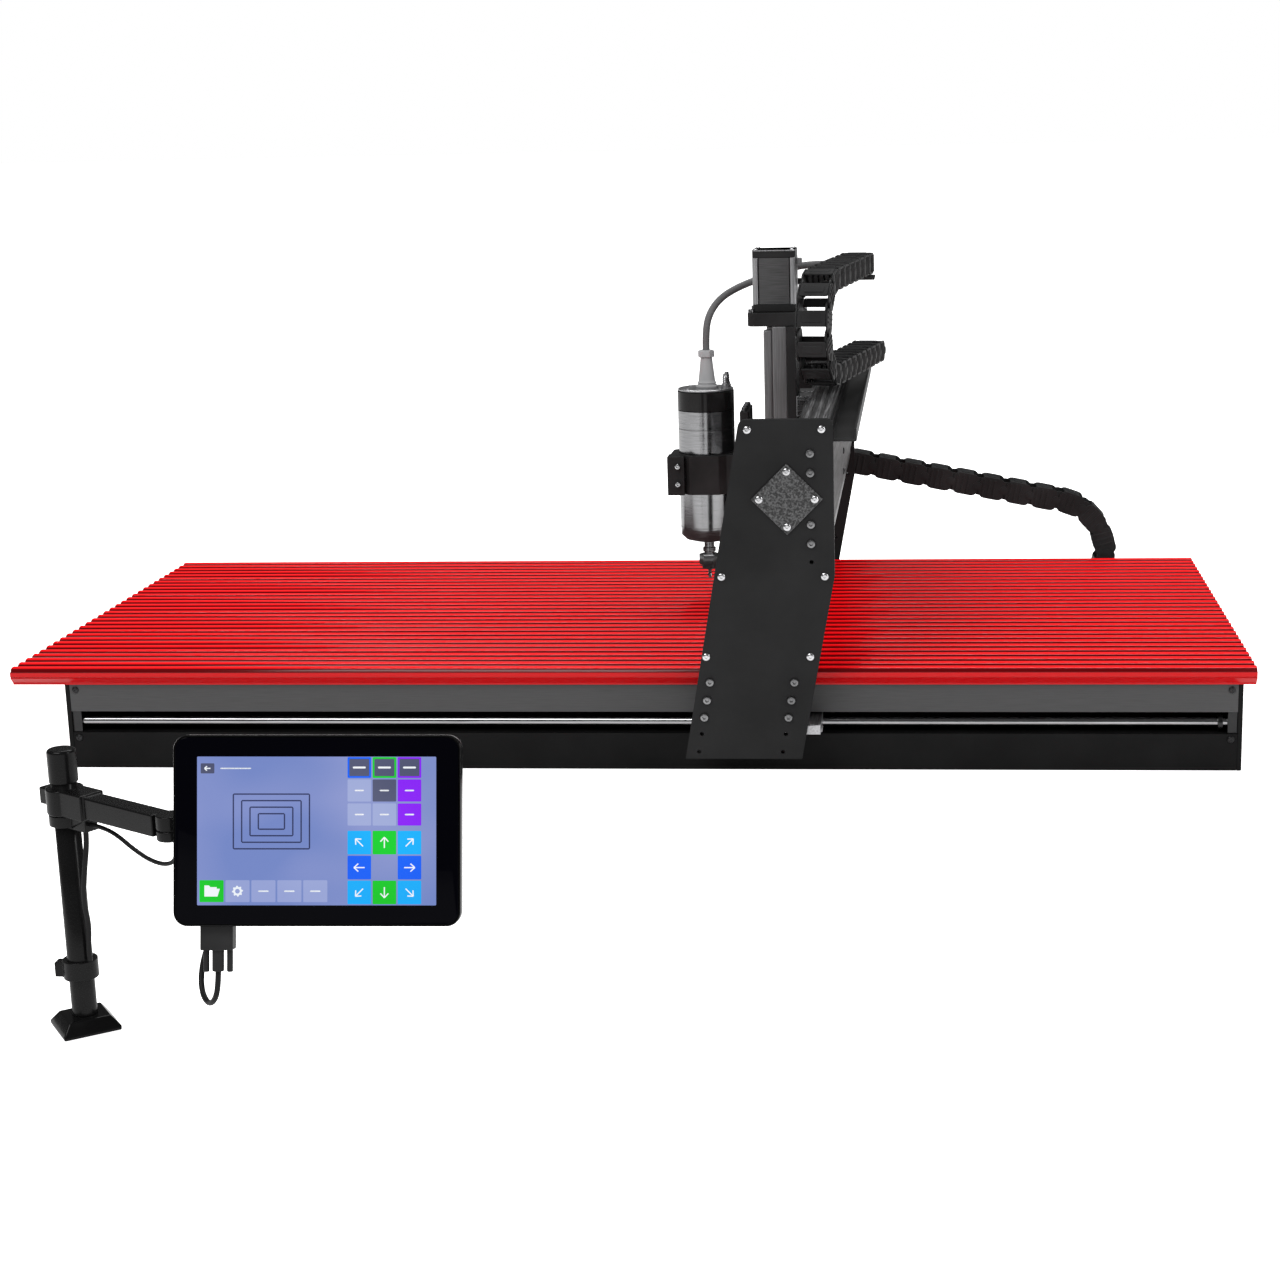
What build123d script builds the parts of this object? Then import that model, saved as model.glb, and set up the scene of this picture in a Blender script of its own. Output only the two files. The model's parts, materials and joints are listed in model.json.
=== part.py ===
"""Long-bed CNC router: ribbed bed on a railed base, travelling gantry, three-axis head with a spindle,
two drag chains, and a touch pendant on its own jointed stand.

Row frame, millimetres: +X along the bed, +Y away from the pendant, +Z up. The origin is under the bed's
centre, on the bench top that both the machine's base and the pendant stand are fixed to.
"""

from build123d import *
import os
from math import atan2, cos, degrees, hypot, pi, radians, sin, tan

# Fits
RUNNING = 0.05  # radial clearance of a shaft in its bore
LOOSE = 0.3  # gap between sliding blocks and their rails

# Bed
BED_LENGTH, BED_WIDTH = 1594.0, 724.0
BED_TOP, BED_SKIRT, BED_UNDERSIDE = 136.0, 121.0, 113.0
PLANKS, RIBS_PER_PLANK = 6, 5
GROOVE_WIDTH, GROOVE_DEPTH = 3.0, 2.5
LIP_INSET = 8.0
BRACE_XS, BRACE_WIDTH, BRACE_DEPTH = (-560, -280, 0, 280, 560), 40.0, 33.0

# Base frame
FRAME_LEFT, FRAME_RIGHT, FRAME_HALF = -730.0, 782.0, 350.0
END_PLATE, PAN = 6.0, 3.0
RAIL_DEPTH = 24.0
LOWER_RAIL_TOP, SLOT_TOP = 48.0, 76.0
SHAFT_Y, SHAFT_Z, SHAFT_R = FRAME_HALF - RAIL_DEPTH / 2, 61.0, 6.0
SHAFT_SUPPORT = 12.0
COLLAR_R, COLLAR_LENGTH = 10.0, 6.0
RAIL_INSIDE = FRAME_HALF - RAIL_DEPTH
RAIL_LEFT, RAIL_RIGHT = FRAME_LEFT + END_PLATE, FRAME_RIGHT - END_PLATE

# Screws and motors
SCREW_R, Z_SCREW_R = 6.0, 5.0
MOTOR_SIDE, MOTOR_LENGTH = 57.0, 56.0
CROSS_MOTOR_SIDE, CROSS_MOTOR_LENGTH = 42.0, 48.0
COUPLER_R, COUPLER_LENGTH = 10.0, 14.0
LONG_MOUNT_LENGTH, BEARING_WALL = 26.0, 10.0

# Gantry side plates, outline in X and Z
PLATE_INSIDE, PLATE_THICKNESS = 400.0, 12.0
PLATE_BOTTOM, PLATE_TOP, PLATE_KNEE = 32.0, 457.0, 263.0
PLATE_FRONT_FOOT, PLATE_FRONT_HEAD = 87.0, 162.0
PLATE_REAR_FOOT, PLATE_REAR_HEAD = 233.0, 276.0
PLATE_LEAN = (PLATE_FRONT_HEAD - PLATE_FRONT_FOOT) / (PLATE_TOP - PLATE_BOTTOM)
EDGE_SCREWS = ((172, 445), (262, 445), (137, 264), (264, 264), (116, 163), (245, 163))
BEAM_SCREW_X, BEAM_SCREW_ZS, BEAM_SPARE_Z = 248.0, (305, 329, 392, 416), 282.0
FOOT_COLUMN_X, FOOT_COLUMN_SPACING = 112.0, 105.0
FOOT_SCREW_ZS, FOOT_SPARE_ZS = (86, 108, 131), (41, 64)
SPARE_HOLE_R, SPARE_HOLE_DEPTH, SHANK_R = 2.6, 9.0, 2.5

# Gantry beam and what it carries
BEAM_FRONT, BEAM_BACK, BEAM_BOTTOM, BEAM_TOP, BEAM_WALL = 236.0, 270.0, 296.0, 452.0, 4.0
PANEL_BOTTOM, PANEL_TOP, PANEL_THICKNESS = 318.0, 428.0, 3.0
SHELF_REACH, SHELF_TOP, SHELF_WALL = 34.0, 444.0, 3.0
RAIL_SIZE = 15.0
CROSS_RAIL_ZS = (329.5, 419.5)
CROSS_SCREW_X, CROSS_SCREW_Z = 219.0, 360.0
COVER_SIDE, COVER_THICKNESS, COVER_SCREW_REACH = 62.0, 3.0, 34.0
BLOCK_FRONT, BLOCK_BACK, BLOCK_BOTTOM, BLOCK_TOP = 104.0, 256.0, 49.5, 72.5
BLOCK_ARM_BOTTOM, BLOCK_ARM_INSIDE = 60.0, FRAME_HALF + 1
PAD_FRONT, PAD_BACK, PAD_TOP, PAD_DEPTH = 110.0, 238.0, 136.0, 18.0
MEMBER_FRONT, MEMBER_BACK, MEMBER_BOTTOM, MEMBER_TOP = 140.0, 226.0, 51.0, 71.0

# Carriage and vertical axis
HEAD_Y = 60.0
CARRIAGE_FRONT, CARRIAGE_BACK, CARRIAGE_HALF = 196.0, 208.0, 45.0
COLUMN_FRONT, COLUMN_BOTTOM, COLUMN_TOP = 175.0, 262.0, 530.0
COLUMN_INNER, COLUMN_OUTER = 24.0, 40.0
Z_RAIL_FRONT, Z_RAIL_INNER, Z_RAIL_OUTER = 163.0, 26.0, 38.0
Z_SCREW_X = 178.5
Z_MOUNT_FRONT, Z_MOUNT_BACK, Z_MOUNT_TOP = 141.0, 221.0, 549.0
Z_MOTOR_SIDE, Z_MOTOR_TOP = 60.0, 636.0
SLIDE_FRONT, SLIDE_BACK, SLIDE_HALF = 128.0, 140.0, 42.0
SLIDE_BOTTOM, SLIDE_TOP = 262.0, 412.0

# Spindle
SPINDLE_X, SPINDLE_R = 77.0, 40.0
SPINDLE_BOTTOM, SPINDLE_BEVEL, SPINDLE_TOP = 223.0, 10.0, 411.0
CAP_TOP, CAP_PLATE = 442.0, 3.0
CLAMP_BOTTOM, CLAMP_TOP, CLAMP_APOTHEM = 296.0, 351.0, 50.0
ARBOR_R, NUT_BOTTOM, NUT_TOP, NUT_FLATS = 7.5, 181.0, 203.0, 26.0
BIT_R, BIT_TIP = 3.0, 168.0
GLAND_X, GLAND_TOP = 79.0, 495.0

# Drag chains
LONG_PITCH, LONG_WIDTH, LONG_HEIGHT, LONG_RADIUS = 42.0, 48.0, 34.0, 87.3
LONG_CHAIN_Y = 442.0
CROSS_PITCH, CROSS_WIDTH, CROSS_HEIGHT, CROSS_RADIUS = 34.0, 44.0, 30.0, 63.0
CROSS_BEND, CROSS_YAW, CROSS_SLOPE = (252.0, -84.0, 538.5), 10.0, 1.5
CROSS_UPPER, CROSS_LOWER = 240.0, 330.0
BRACKET_SHEET, BRACKET_POST, BRACKET_REACH, BRACKET_DEPTH = 4.0, 30.0, 316.0, 52.0
CABLE_EYE_X, CABLE_EYE_Y, CABLE_EYE_Z, CABLE_EYE_SIDE = 250.0, 125.0, 608.0, 15.0
CHAIN_WALL = 5.0
TRAY_INSIDE, TRAY_OUTSIDE, TRAY_FLOOR, TRAY_TOP, TRAY_SHEET = 416.0, 472.0, 20.0, 62.0, 2.0

# Pendant stand
POLE_X, POLE_Y, POLE_R, POLE_TOP = -393.0, -1202.0, 11.5, 262.0
FOOT_SIDE, FOOT_TOP_SIDE, FOOT_HEIGHT, FOOT_TURN = 53.0, 38.0, 14.0, 35.0
COLLAR_BOTTOM, COLLAR_TOP, HUB_BOTTOM, HUB_TOP, HUB_R = 198.0, 208.5, 209.0, 233.0, 17.0
KNUCKLE_X, KNUCKLE_Y, KNUCKLE_R, KNUCKLE_SPLIT = -270.0, -1279.0, 12.0, 219.0
DISPLAY_CENTRE = (-124.0, -1334.0, 235.0)
DISPLAY_PAN, DISPLAY_TILT, DISPLAY_ROLL = 4.7, -13.0, 1.2
DISPLAY_WIDTH, DISPLAY_HEIGHT, DISPLAY_DEPTH, DISPLAY_CORNER = 242.0, 161.0, 26.0, 12.0
GLASS, GLASS_BORDER = 2.0, 2.0
TILT_AXIS_DEPTH = 45.0
PLUG_X, PLUG_DEPTH = -86.0, 14.0


def block(x0, x1, y0, y1, z0, z1):
    """A box between two corners."""
    centre = ((x0 + x1) / 2, (y0 + y1) / 2, (z0 + z1) / 2)
    return Pos(*centre) * Box(x1 - x0, y1 - y0, z1 - z0)


def rod(axis, radius, start, end, a, b):
    """A round bar along X, Y or Z from start to end; a and b place it on the other two axes, in order."""
    centre, length = (start + end) / 2, end - start
    if axis == "X":
        return Pos(centre, a, b) * Rot(0, 90, 0) * Cylinder(radius, length)
    if axis == "Y":
        return Pos(a, centre, b) * Rot(90, 0, 0) * Cylinder(radius, length)
    return Pos(a, b, centre) * Cylinder(radius, length)


def both_sides(shape):
    """The shape and its mirror image across the machine's middle plane."""
    return [shape, mirror(shape, about=Plane.XZ)]


def save(name, *shapes):
    """Writes the node's solids to one STEP file."""
    solids = [solid for shape in shapes for solid in shape.solids()]
    export_step(Compound(children=solids), f"parts/{name}.step")


def side_screw(x, z, face_y, head_r, head_height, shank=PLATE_THICKNESS):
    """A screw whose head stands on the outer face at y = -face_y of the near plate."""
    head = rod("Y", head_r, -face_y - head_height, -face_y, x, z)
    head = fillet(head.edges().group_by(Axis.Y)[0], head_height * 0.45)
    return head + rod("Y", SHANK_R, -face_y, -face_y + shank, x, z)


def foot_column_xs(z):
    """The two screw columns near the plate's foot follow its lean."""
    front = FOOT_COLUMN_X + (z - FOOT_SCREW_ZS[0]) * PLATE_LEAN
    return front, front + FOOT_COLUMN_SPACING


def chain_links(upper, slope, radius, lower, pitch):
    """Link centres (along, up, turn in degrees) of a chain: a straight upper run that falls by slope degrees,
    one arc that turns it right round, and a level lower run. The arc's centre is at (0, 0)."""
    turn = radians(180 - slope)
    arc = radius * turn
    top = (radius * sin(radians(slope)), radius * cos(radians(slope)))
    links = []
    for i in range(int((upper + arc + lower) / pitch)):
        s = (i + 0.5) * pitch
        if s < upper:
            back = upper - s
            links.append((top[0] - back * cos(radians(slope)), top[1] + back * sin(radians(slope)), slope))
        elif s < upper + arc:
            angle = radians(slope) + (s - upper) / radius
            links.append((radius * sin(angle), radius * cos(angle), degrees(angle)))
        else:
            links.append((-(s - upper - arc), -radius, 180.0))
    return links


def chain_link(pitch, width, height, radius):
    """One hollow link. Its inner edge is shorter, so that neighbours clear each other in the bend."""
    half = pitch / 2 - 0.4
    inner = (radius - height / 2) * tan(pitch / radius / 2) - 0.4
    outline = Polyline(
        (-half, height / 2), (half, height / 2), (half, 0), (inner, -height / 2), (-inner, -height / 2),
        (-half, 0), close=True,
    )
    link = extrude(Plane.XZ * make_face(outline), width / 2, both=True)
    return link - Box(2 * pitch, width - 2 * CHAIN_WALL, height - 2 * CHAIN_WALL)


def cord(points, diameter):
    """A tube along straight runs joined by arcs, each as large as its two runs allow."""
    runs = [Vector(*b) - Vector(*a) for a, b in zip(points, points[1:])]
    radii = []
    for run, after in zip(runs, runs[1:]):
        shorter = min(run.length, after.length)
        radii.append(0.45 * shorter / tan(radians(run.get_angle(after)) / 2))
    path = FilletPolyline(*points, radius=radii)
    start = Plane(origin=path @ 0, z_dir=path % 0)
    tube = sweep(start * Circle(diameter / 2), path=path)
    expected = pi * diameter**2 / 4 * path.length
    print(f"cord {diameter} mm, {path.length:.0f} mm long, radii", [round(r) for r in radii],
          f"volume ratio {tube.volume / expected:.4f}")
    return tube


def make_bed():
    plank_width = BED_WIDTH / PLANKS
    rib = plank_width / RIBS_PER_PLANK
    half = BED_LENGTH / 2
    planks = []
    for i in range(PLANKS):
        near = -BED_WIDTH / 2 + i * plank_width
        far = near + plank_width
        plank = block(-half, half, near, far, BED_SKIRT, BED_TOP)
        web_near = near + LIP_INSET if i == 0 else near
        web_far = far - LIP_INSET if i == PLANKS - 1 else far
        plank += block(-half, half, web_near, web_far, BED_UNDERSIDE, BED_SKIRT)
        for j in range(1, RIBS_PER_PLANK):
            groove = near + j * rib - GROOVE_WIDTH / 2
            plank -= block(-half, half, groove, groove + GROOVE_WIDTH, BED_TOP - GROOVE_DEPTH, BED_TOP)
        planks.append(plank)
    save("bed_planks", *planks)
    save("bed_braces", *[
        block(x - BRACE_WIDTH / 2, x + BRACE_WIDTH / 2, -RAIL_INSIDE, RAIL_INSIDE,
              BED_UNDERSIDE - BRACE_DEPTH, BED_UNDERSIDE)
        for x in BRACE_XS
    ])


def make_base():
    screw_xs = (RAIL_LEFT + 8, RAIL_RIGHT - 8)
    upper = block(RAIL_LEFT, RAIL_RIGHT, -FRAME_HALF, -RAIL_INSIDE, SLOT_TOP, BED_UNDERSIDE)
    lower = block(RAIL_LEFT, RAIL_RIGHT, -FRAME_HALF, -RAIL_INSIDE, 0, LOWER_RAIL_TOP)
    screws = []
    for x in screw_xs:
        for z in (LOWER_RAIL_TOP - 7, BED_UNDERSIDE - 8):
            hole = rod("Y", SHANK_R, -FRAME_HALF, -FRAME_HALF + 16, x, z)
            upper, lower = upper - hole, lower - hole
            screws += both_sides(side_screw(x, z, FRAME_HALF, 4.5, 2.5, shank=16))
    save("upper_rails", *both_sides(upper))
    save("lower_rails", *both_sides(lower))
    save("frame_screws", *screws)
    save(
        "base_sheets",
        block(FRAME_LEFT, RAIL_LEFT, -FRAME_HALF, FRAME_HALF, 0, BED_UNDERSIDE),
        block(RAIL_RIGHT, FRAME_RIGHT, -FRAME_HALF, FRAME_HALF, 0, BED_UNDERSIDE),
        block(RAIL_LEFT, RAIL_RIGHT, -RAIL_INSIDE, RAIL_INSIDE, 0, PAN),
    )
    save("guide_shafts", *both_sides(rod("X", SHAFT_R, RAIL_LEFT + 1, RAIL_RIGHT - 1, -SHAFT_Y, SHAFT_Z)))
    supports = []
    bore = rod("X", SHAFT_R + RUNNING, RAIL_LEFT, RAIL_RIGHT, -SHAFT_Y, SHAFT_Z)
    for start in (RAIL_LEFT, RAIL_RIGHT - SHAFT_SUPPORT):
        support = block(start, start + SHAFT_SUPPORT, -FRAME_HALF + 3, -RAIL_INSIDE, LOWER_RAIL_TOP, SLOT_TOP)
        supports += both_sides(support - bore)
    collar_end = RAIL_RIGHT - SHAFT_SUPPORT - 6
    collar = rod("X", COLLAR_R, collar_end - COLLAR_LENGTH, collar_end, -SHAFT_Y, SHAFT_Z) - bore
    save("shaft_supports", *supports, *both_sides(collar))


def make_long_drive():
    motor_start = RAIL_LEFT + 2
    mount_start = motor_start + MOTOR_LENGTH
    mount_end = mount_start + LONG_MOUNT_LENGTH
    half = MOTOR_SIDE / 2
    motor = block(motor_start, mount_start, -half, half, SHAFT_Z - half, SHAFT_Z + half)
    save("long_motor", chamfer(motor.edges().filter_by(Axis.X), 4))
    pocket = rod("X", COUPLER_R + 1.5, mount_start, mount_end - BEARING_WALL, 0, SHAFT_Z)
    bore = rod("X", SCREW_R + RUNNING, mount_start, RAIL_RIGHT, 0, SHAFT_Z)
    left = block(mount_start, mount_end, -half - 4, half + 4, PAN, SHAFT_Z + half + 6) - pocket - bore
    right = block(RAIL_RIGHT - 16, RAIL_RIGHT, -25, 25, PAN, SHAFT_Z + 24) - bore
    save("long_screw_bearings", left, right)
    screw = rod("X", SCREW_R, mount_start + 2, RAIL_RIGHT - 2, 0, SHAFT_Z)
    coupler = rod("X", COUPLER_R, mount_start + 1, mount_start + 1 + COUPLER_LENGTH, 0, SHAFT_Z) - screw
    save("long_screw", screw, coupler)
    nut = block(MEMBER_BACK, MEMBER_BACK + 20, -16, 16, SHAFT_Z - 14, SHAFT_Z + 14)
    save("long_nut", nut - bore)


def make_chain_tray():
    floor = block(RAIL_LEFT, RAIL_RIGHT, TRAY_INSIDE, TRAY_OUTSIDE, TRAY_FLOOR, TRAY_FLOOR + TRAY_SHEET)
    tray = floor + block(RAIL_LEFT, RAIL_RIGHT, TRAY_OUTSIDE - TRAY_SHEET, TRAY_OUTSIDE, TRAY_FLOOR, TRAY_TOP)
    for x in BRACE_XS:
        tray += block(x - 20, x + 20, FRAME_HALF, TRAY_OUTSIDE, TRAY_FLOOR - 8, TRAY_FLOOR)
    save("chain_tray", tray)


def side_plate():
    """The near side plate, with the holes for its screws and its spare holes."""
    outline = Polyline(
        (PLATE_FRONT_FOOT, PLATE_BOTTOM), (PLATE_FRONT_HEAD, PLATE_TOP), (PLATE_REAR_HEAD, PLATE_TOP),
        (PLATE_REAR_HEAD, PLATE_KNEE), (PLATE_REAR_FOOT, PLATE_BOTTOM), close=True,
    )
    face = Plane.XZ * make_face(outline)
    plate = Pos(0, -PLATE_INSIDE, 0) * extrude(face, PLATE_THICKNESS)
    uprights = plate.edges().filter_by(Axis.Y)
    plate = fillet(uprights.group_by(Axis.Z)[-1], 9)
    outer, inner = -PLATE_INSIDE - PLATE_THICKNESS, -PLATE_INSIDE
    holes = [(x, z, SHANK_R) for x, z in EDGE_SCREWS]
    holes += [(BEAM_SCREW_X, z, SHANK_R) for z in BEAM_SCREW_ZS]
    holes += [(x, z, SHANK_R) for z in FOOT_SCREW_ZS for x in foot_column_xs(z)]
    holes += [(x, z, SPARE_HOLE_R) for z in FOOT_SPARE_ZS for x in foot_column_xs(z)]
    for x, z, radius in holes:
        plate -= rod("Y", radius, outer, inner, x, z)
    plate -= rod("Y", SPARE_HOLE_R, outer, outer + SPARE_HOLE_DEPTH, BEAM_SCREW_X, BEAM_SPARE_Z)
    return plate - rod("Y", COUPLER_R + 2, outer, inner, CROSS_SCREW_X, CROSS_SCREW_Z)


def make_side_plates():
    face = PLATE_INSIDE + PLATE_THICKNESS
    save("side_plates", *both_sides(side_plate()))
    domes = [side_screw(x, z, face, 5, 3) for x, z in EDGE_SCREWS]
    sockets = [side_screw(BEAM_SCREW_X, z, face, 5, 4) for z in BEAM_SCREW_ZS]
    sockets += [side_screw(x, z, face, 5, 4) for z in FOOT_SCREW_ZS for x in foot_column_xs(z)]
    domes = [s for dome in domes for s in both_sides(dome)]
    save("socket_screws", *[s for socket in sockets for s in both_sides(socket)])
    place = Pos(CROSS_SCREW_X, -face, CROSS_SCREW_Z)
    cover = place * extrude(Plane.XZ * Rot(0, 0, 45) * Rectangle(COVER_SIDE, COVER_SIDE), COVER_THICKNESS)
    reach = COVER_SCREW_REACH
    steps = ((reach, 0), (-reach, 0), (0, reach), (0, -reach))
    spots = [(CROSS_SCREW_X + dx, CROSS_SCREW_Z + dz) for dx, dz in steps]
    for x, z in spots:
        cover -= rod("Y", SHANK_R, -face - COVER_THICKNESS, -face, x, z)
    save("bearing_cover", cover)
    save("dome_screws", *domes, *[side_screw(x, z, face + COVER_THICKNESS, 4.5, 2.5, COVER_THICKNESS)
                                  for x, z in spots])


def make_gantry():
    inside = PLATE_INSIDE
    beam = block(BEAM_FRONT, BEAM_BACK, -inside, inside, BEAM_BOTTOM, BEAM_TOP)
    beam -= block(BEAM_FRONT + BEAM_WALL, BEAM_BACK - BEAM_WALL, -inside, inside,
                  BEAM_BOTTOM + BEAM_WALL, BEAM_TOP - BEAM_WALL)
    save("gantry_beam", beam)
    end = inside - 1
    panel_back = BEAM_BACK + PANEL_THICKNESS
    save("rear_panel", block(BEAM_BACK, panel_back, -end, end, PANEL_BOTTOM, PANEL_TOP))
    shelf_back = BEAM_BACK + SHELF_REACH
    shelf = block(BEAM_BACK, shelf_back, -end, end, PANEL_TOP, SHELF_TOP)
    shelf -= block(BEAM_BACK + SHELF_WALL, shelf_back - SHELF_WALL, -end, end,
                   PANEL_TOP + SHELF_WALL, SHELF_TOP)
    save("rear_shelf", shelf)
    half = RAIL_SIZE / 2
    save("cross_rails", *[block(BEAM_FRONT - RAIL_SIZE, BEAM_FRONT, -end, end, z - half, z + half)
                          for z in CROSS_RAIL_ZS])
    bearing = rod("Y", 17, -inside, -inside + 12, CROSS_SCREW_X, CROSS_SCREW_Z)
    bearing -= rod("Y", SCREW_R + RUNNING, -inside, -inside + 12, CROSS_SCREW_X, CROSS_SCREW_Z)
    save("cross_screw_bearings", *both_sides(bearing))
    face, side = inside + PLATE_THICKNESS, CROSS_MOTOR_SIDE / 2
    rim = side + 2
    flange = block(CROSS_SCREW_X - rim, CROSS_SCREW_X + rim, face, face + 6,
                   CROSS_SCREW_Z - rim, CROSS_SCREW_Z + rim)
    motor = block(CROSS_SCREW_X - side, CROSS_SCREW_X + side, face + 6, face + 6 + CROSS_MOTOR_LENGTH,
                  CROSS_SCREW_Z - side, CROSS_SCREW_Z + side)
    save("cross_motor", flange + chamfer(motor.edges().filter_by(Axis.Y), 4))
    save("cross_screw", rod("Y", SCREW_R, -inside + 1, inside + 6, CROSS_SCREW_X, CROSS_SCREW_Z))


def make_gantry_feet():
    runner = block(BLOCK_FRONT, BLOCK_BACK, -PLATE_INSIDE, -BLOCK_ARM_INSIDE, BLOCK_ARM_BOTTOM, BLOCK_TOP)
    runner += block(BLOCK_FRONT, BLOCK_BACK, -BLOCK_ARM_INSIDE, -RAIL_INSIDE + 4, BLOCK_BOTTOM, BLOCK_TOP)
    runner += block(PAD_FRONT, PAD_BACK, -PLATE_INSIDE, -PLATE_INSIDE + PAD_DEPTH, BLOCK_TOP, PAD_TOP)
    runner -= rod("X", SHAFT_R + RUNNING, BLOCK_FRONT, BLOCK_BACK, -SHAFT_Y, SHAFT_Z)
    save("bearing_blocks", *both_sides(runner))
    reach = RAIL_INSIDE - 4
    member = block(MEMBER_FRONT, MEMBER_BACK, -reach, reach, MEMBER_BOTTOM, MEMBER_TOP)
    save("cross_member", member - rod("X", SCREW_R + 2, MEMBER_FRONT, MEMBER_BACK, 0, SHAFT_Z))


def make_long_chain():
    slope = 11.2
    link = chain_link(LONG_PITCH, LONG_WIDTH, LONG_HEIGHT, LONG_RADIUS)
    bend_x, bend_z = 583.0, TRAY_FLOOR + TRAY_SHEET + 2 + LONG_HEIGHT / 2 + LONG_RADIUS
    links = chain_links(344, slope, LONG_RADIUS, 460, LONG_PITCH)
    bend = Pos(bend_x, LONG_CHAIN_Y, bend_z)
    solids = [bend * Pos(along, 0, up) * Rot(0, turn, 0) * link for along, up, turn in links]
    first = links[0]
    end_x = bend_x + first[0] - LONG_PITCH / 2 * cos(radians(slope))
    anchor = block(end_x - 18, end_x - 4, PLATE_INSIDE + PLATE_THICKNESS, LONG_CHAIN_Y + LONG_WIDTH / 2,
                   bend_z + first[1] - 14, bend_z + first[1] + 20)
    save("long_chain", *solids, anchor)


def make_carriage():
    near, far = HEAD_Y - CARRIAGE_HALF, HEAD_Y + CARRIAGE_HALF
    save("carriage_plate", block(CARRIAGE_FRONT, CARRIAGE_BACK, near, far, COLUMN_BOTTOM, COLUMN_TOP))
    half = RAIL_SIZE / 2
    bearings = []
    for z in CROSS_RAIL_ZS:
        for start in (near, HEAD_Y + 5):
            body = block(CARRIAGE_BACK, BEAM_FRONT - 4, start, start + 40, z - half - 7, z + half + 7)
            bearings.append(body - block(BEAM_FRONT - RAIL_SIZE - LOOSE, BEAM_FRONT, start, start + 40,
                                         z - half - LOOSE, z + half + LOOSE))
    save("carriage_bearings", *bearings)
    nut = block(CARRIAGE_BACK, CROSS_SCREW_X + 12, HEAD_Y - 20, HEAD_Y + 20,
                CROSS_SCREW_Z - 14, CROSS_SCREW_Z + 14)
    save("cross_nut", nut - rod("Y", SCREW_R + RUNNING, near, far, CROSS_SCREW_X, CROSS_SCREW_Z))
    walls, rails = [], []
    for side in (-1, 1):
        a, b = sorted((HEAD_Y + side * COLUMN_INNER, HEAD_Y + side * COLUMN_OUTER))
        walls.append(block(COLUMN_FRONT, CARRIAGE_FRONT, a, b, COLUMN_BOTTOM, COLUMN_TOP))
        a, b = sorted((HEAD_Y + side * Z_RAIL_INNER, HEAD_Y + side * Z_RAIL_OUTER))
        rails.append(block(Z_RAIL_FRONT, COLUMN_FRONT, a, b, COLUMN_BOTTOM, COLUMN_TOP - 5))
    foot = block(Z_SCREW_X - 10, CARRIAGE_FRONT, HEAD_Y - 18, HEAD_Y + 18, 278, 290)
    screw_hole = rod("Z", Z_SCREW_R + RUNNING, 270, Z_MOUNT_TOP, Z_SCREW_X, HEAD_Y)
    save("z_column", *walls, *rails, foot - screw_hole)
    mount = block(Z_MOUNT_FRONT, Z_MOUNT_BACK, HEAD_Y - 40, HEAD_Y + 40, COLUMN_TOP, Z_MOUNT_TOP)
    save("z_motor_mount", fillet(mount.edges().filter_by(Axis.Z), 10) - screw_hole)
    side = Z_MOTOR_SIDE / 2
    motor = block(Z_SCREW_X - side, Z_SCREW_X + side, HEAD_Y - side, HEAD_Y + side, Z_MOUNT_TOP, Z_MOTOR_TOP)
    save("z_motor", chamfer(motor.edges().filter_by(Axis.Z), 4))
    save("z_screw", rod("Z", Z_SCREW_R, 279, Z_MOUNT_TOP - 1, Z_SCREW_X, HEAD_Y))


def make_cross_chain():
    """The chain stands on edge beside the column and is led back a little askew, away from the head."""
    bend_z = CROSS_BEND[2]
    link = chain_link(CROSS_PITCH, CROSS_WIDTH, CROSS_HEIGHT, CROSS_RADIUS)
    links = chain_links(CROSS_UPPER, CROSS_SLOPE, CROSS_RADIUS, CROSS_LOWER, CROSS_PITCH)
    place = Pos(*CROSS_BEND) * Rot(0, 0, -90 - CROSS_YAW)
    save("cross_chain", *[place * Pos(along, 0, up) * Rot(0, turn, 0) * link for along, up, turn in links])
    shelf_top = bend_z + links[1][1] - CROSS_HEIGHT / 2 - 1
    shelf_bottom = shelf_top - BRACKET_SHEET
    post_end, side = Z_SCREW_X + Z_MOTOR_SIDE / 2 - 8, HEAD_Y + 40
    half, eye_end = CABLE_EYE_SIDE / 2, CABLE_EYE_X + 12
    bracket = block(post_end - BRACKET_POST, post_end, side, side + BRACKET_SHEET, COLUMN_TOP, shelf_top)
    bracket += block(post_end, eye_end, side, side + BRACKET_SHEET, shelf_top - 9, shelf_top)
    bracket += block(eye_end, BRACKET_REACH, side, side + BRACKET_DEPTH, shelf_bottom, shelf_top)
    bracket += block(CABLE_EYE_X, eye_end, side, CABLE_EYE_Y + half, shelf_bottom, CABLE_EYE_Z + half)
    save("chain_bracket", bracket)


def make_slide():
    save("z_slide_plate", block(SLIDE_FRONT, SLIDE_BACK, HEAD_Y - SLIDE_HALF, HEAD_Y + SLIDE_HALF,
                                SLIDE_BOTTOM, SLIDE_TOP))
    bearings = []
    for side in (-1, 1):
        a, b = sorted((HEAD_Y + side * (Z_RAIL_INNER - 6), HEAD_Y + side * (Z_RAIL_OUTER + 6)))
        c, d = sorted((HEAD_Y + side * (Z_RAIL_INNER - LOOSE), HEAD_Y + side * (Z_RAIL_OUTER + LOOSE)))
        for z in (285, 340):
            body = block(SLIDE_BACK, COLUMN_FRONT - 2, a, b, z, z + 40)
            bearings.append(body - block(Z_RAIL_FRONT - LOOSE, COLUMN_FRONT, c, d, z, z + 40))
    save("z_bearings", *bearings)
    nut = block(SLIDE_BACK, Z_SCREW_X + 11, HEAD_Y - 16, HEAD_Y + 16, 328, 350)
    save("z_nut", nut - rod("Z", Z_SCREW_R + RUNNING, 328, 350, Z_SCREW_X, HEAD_Y))


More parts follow.
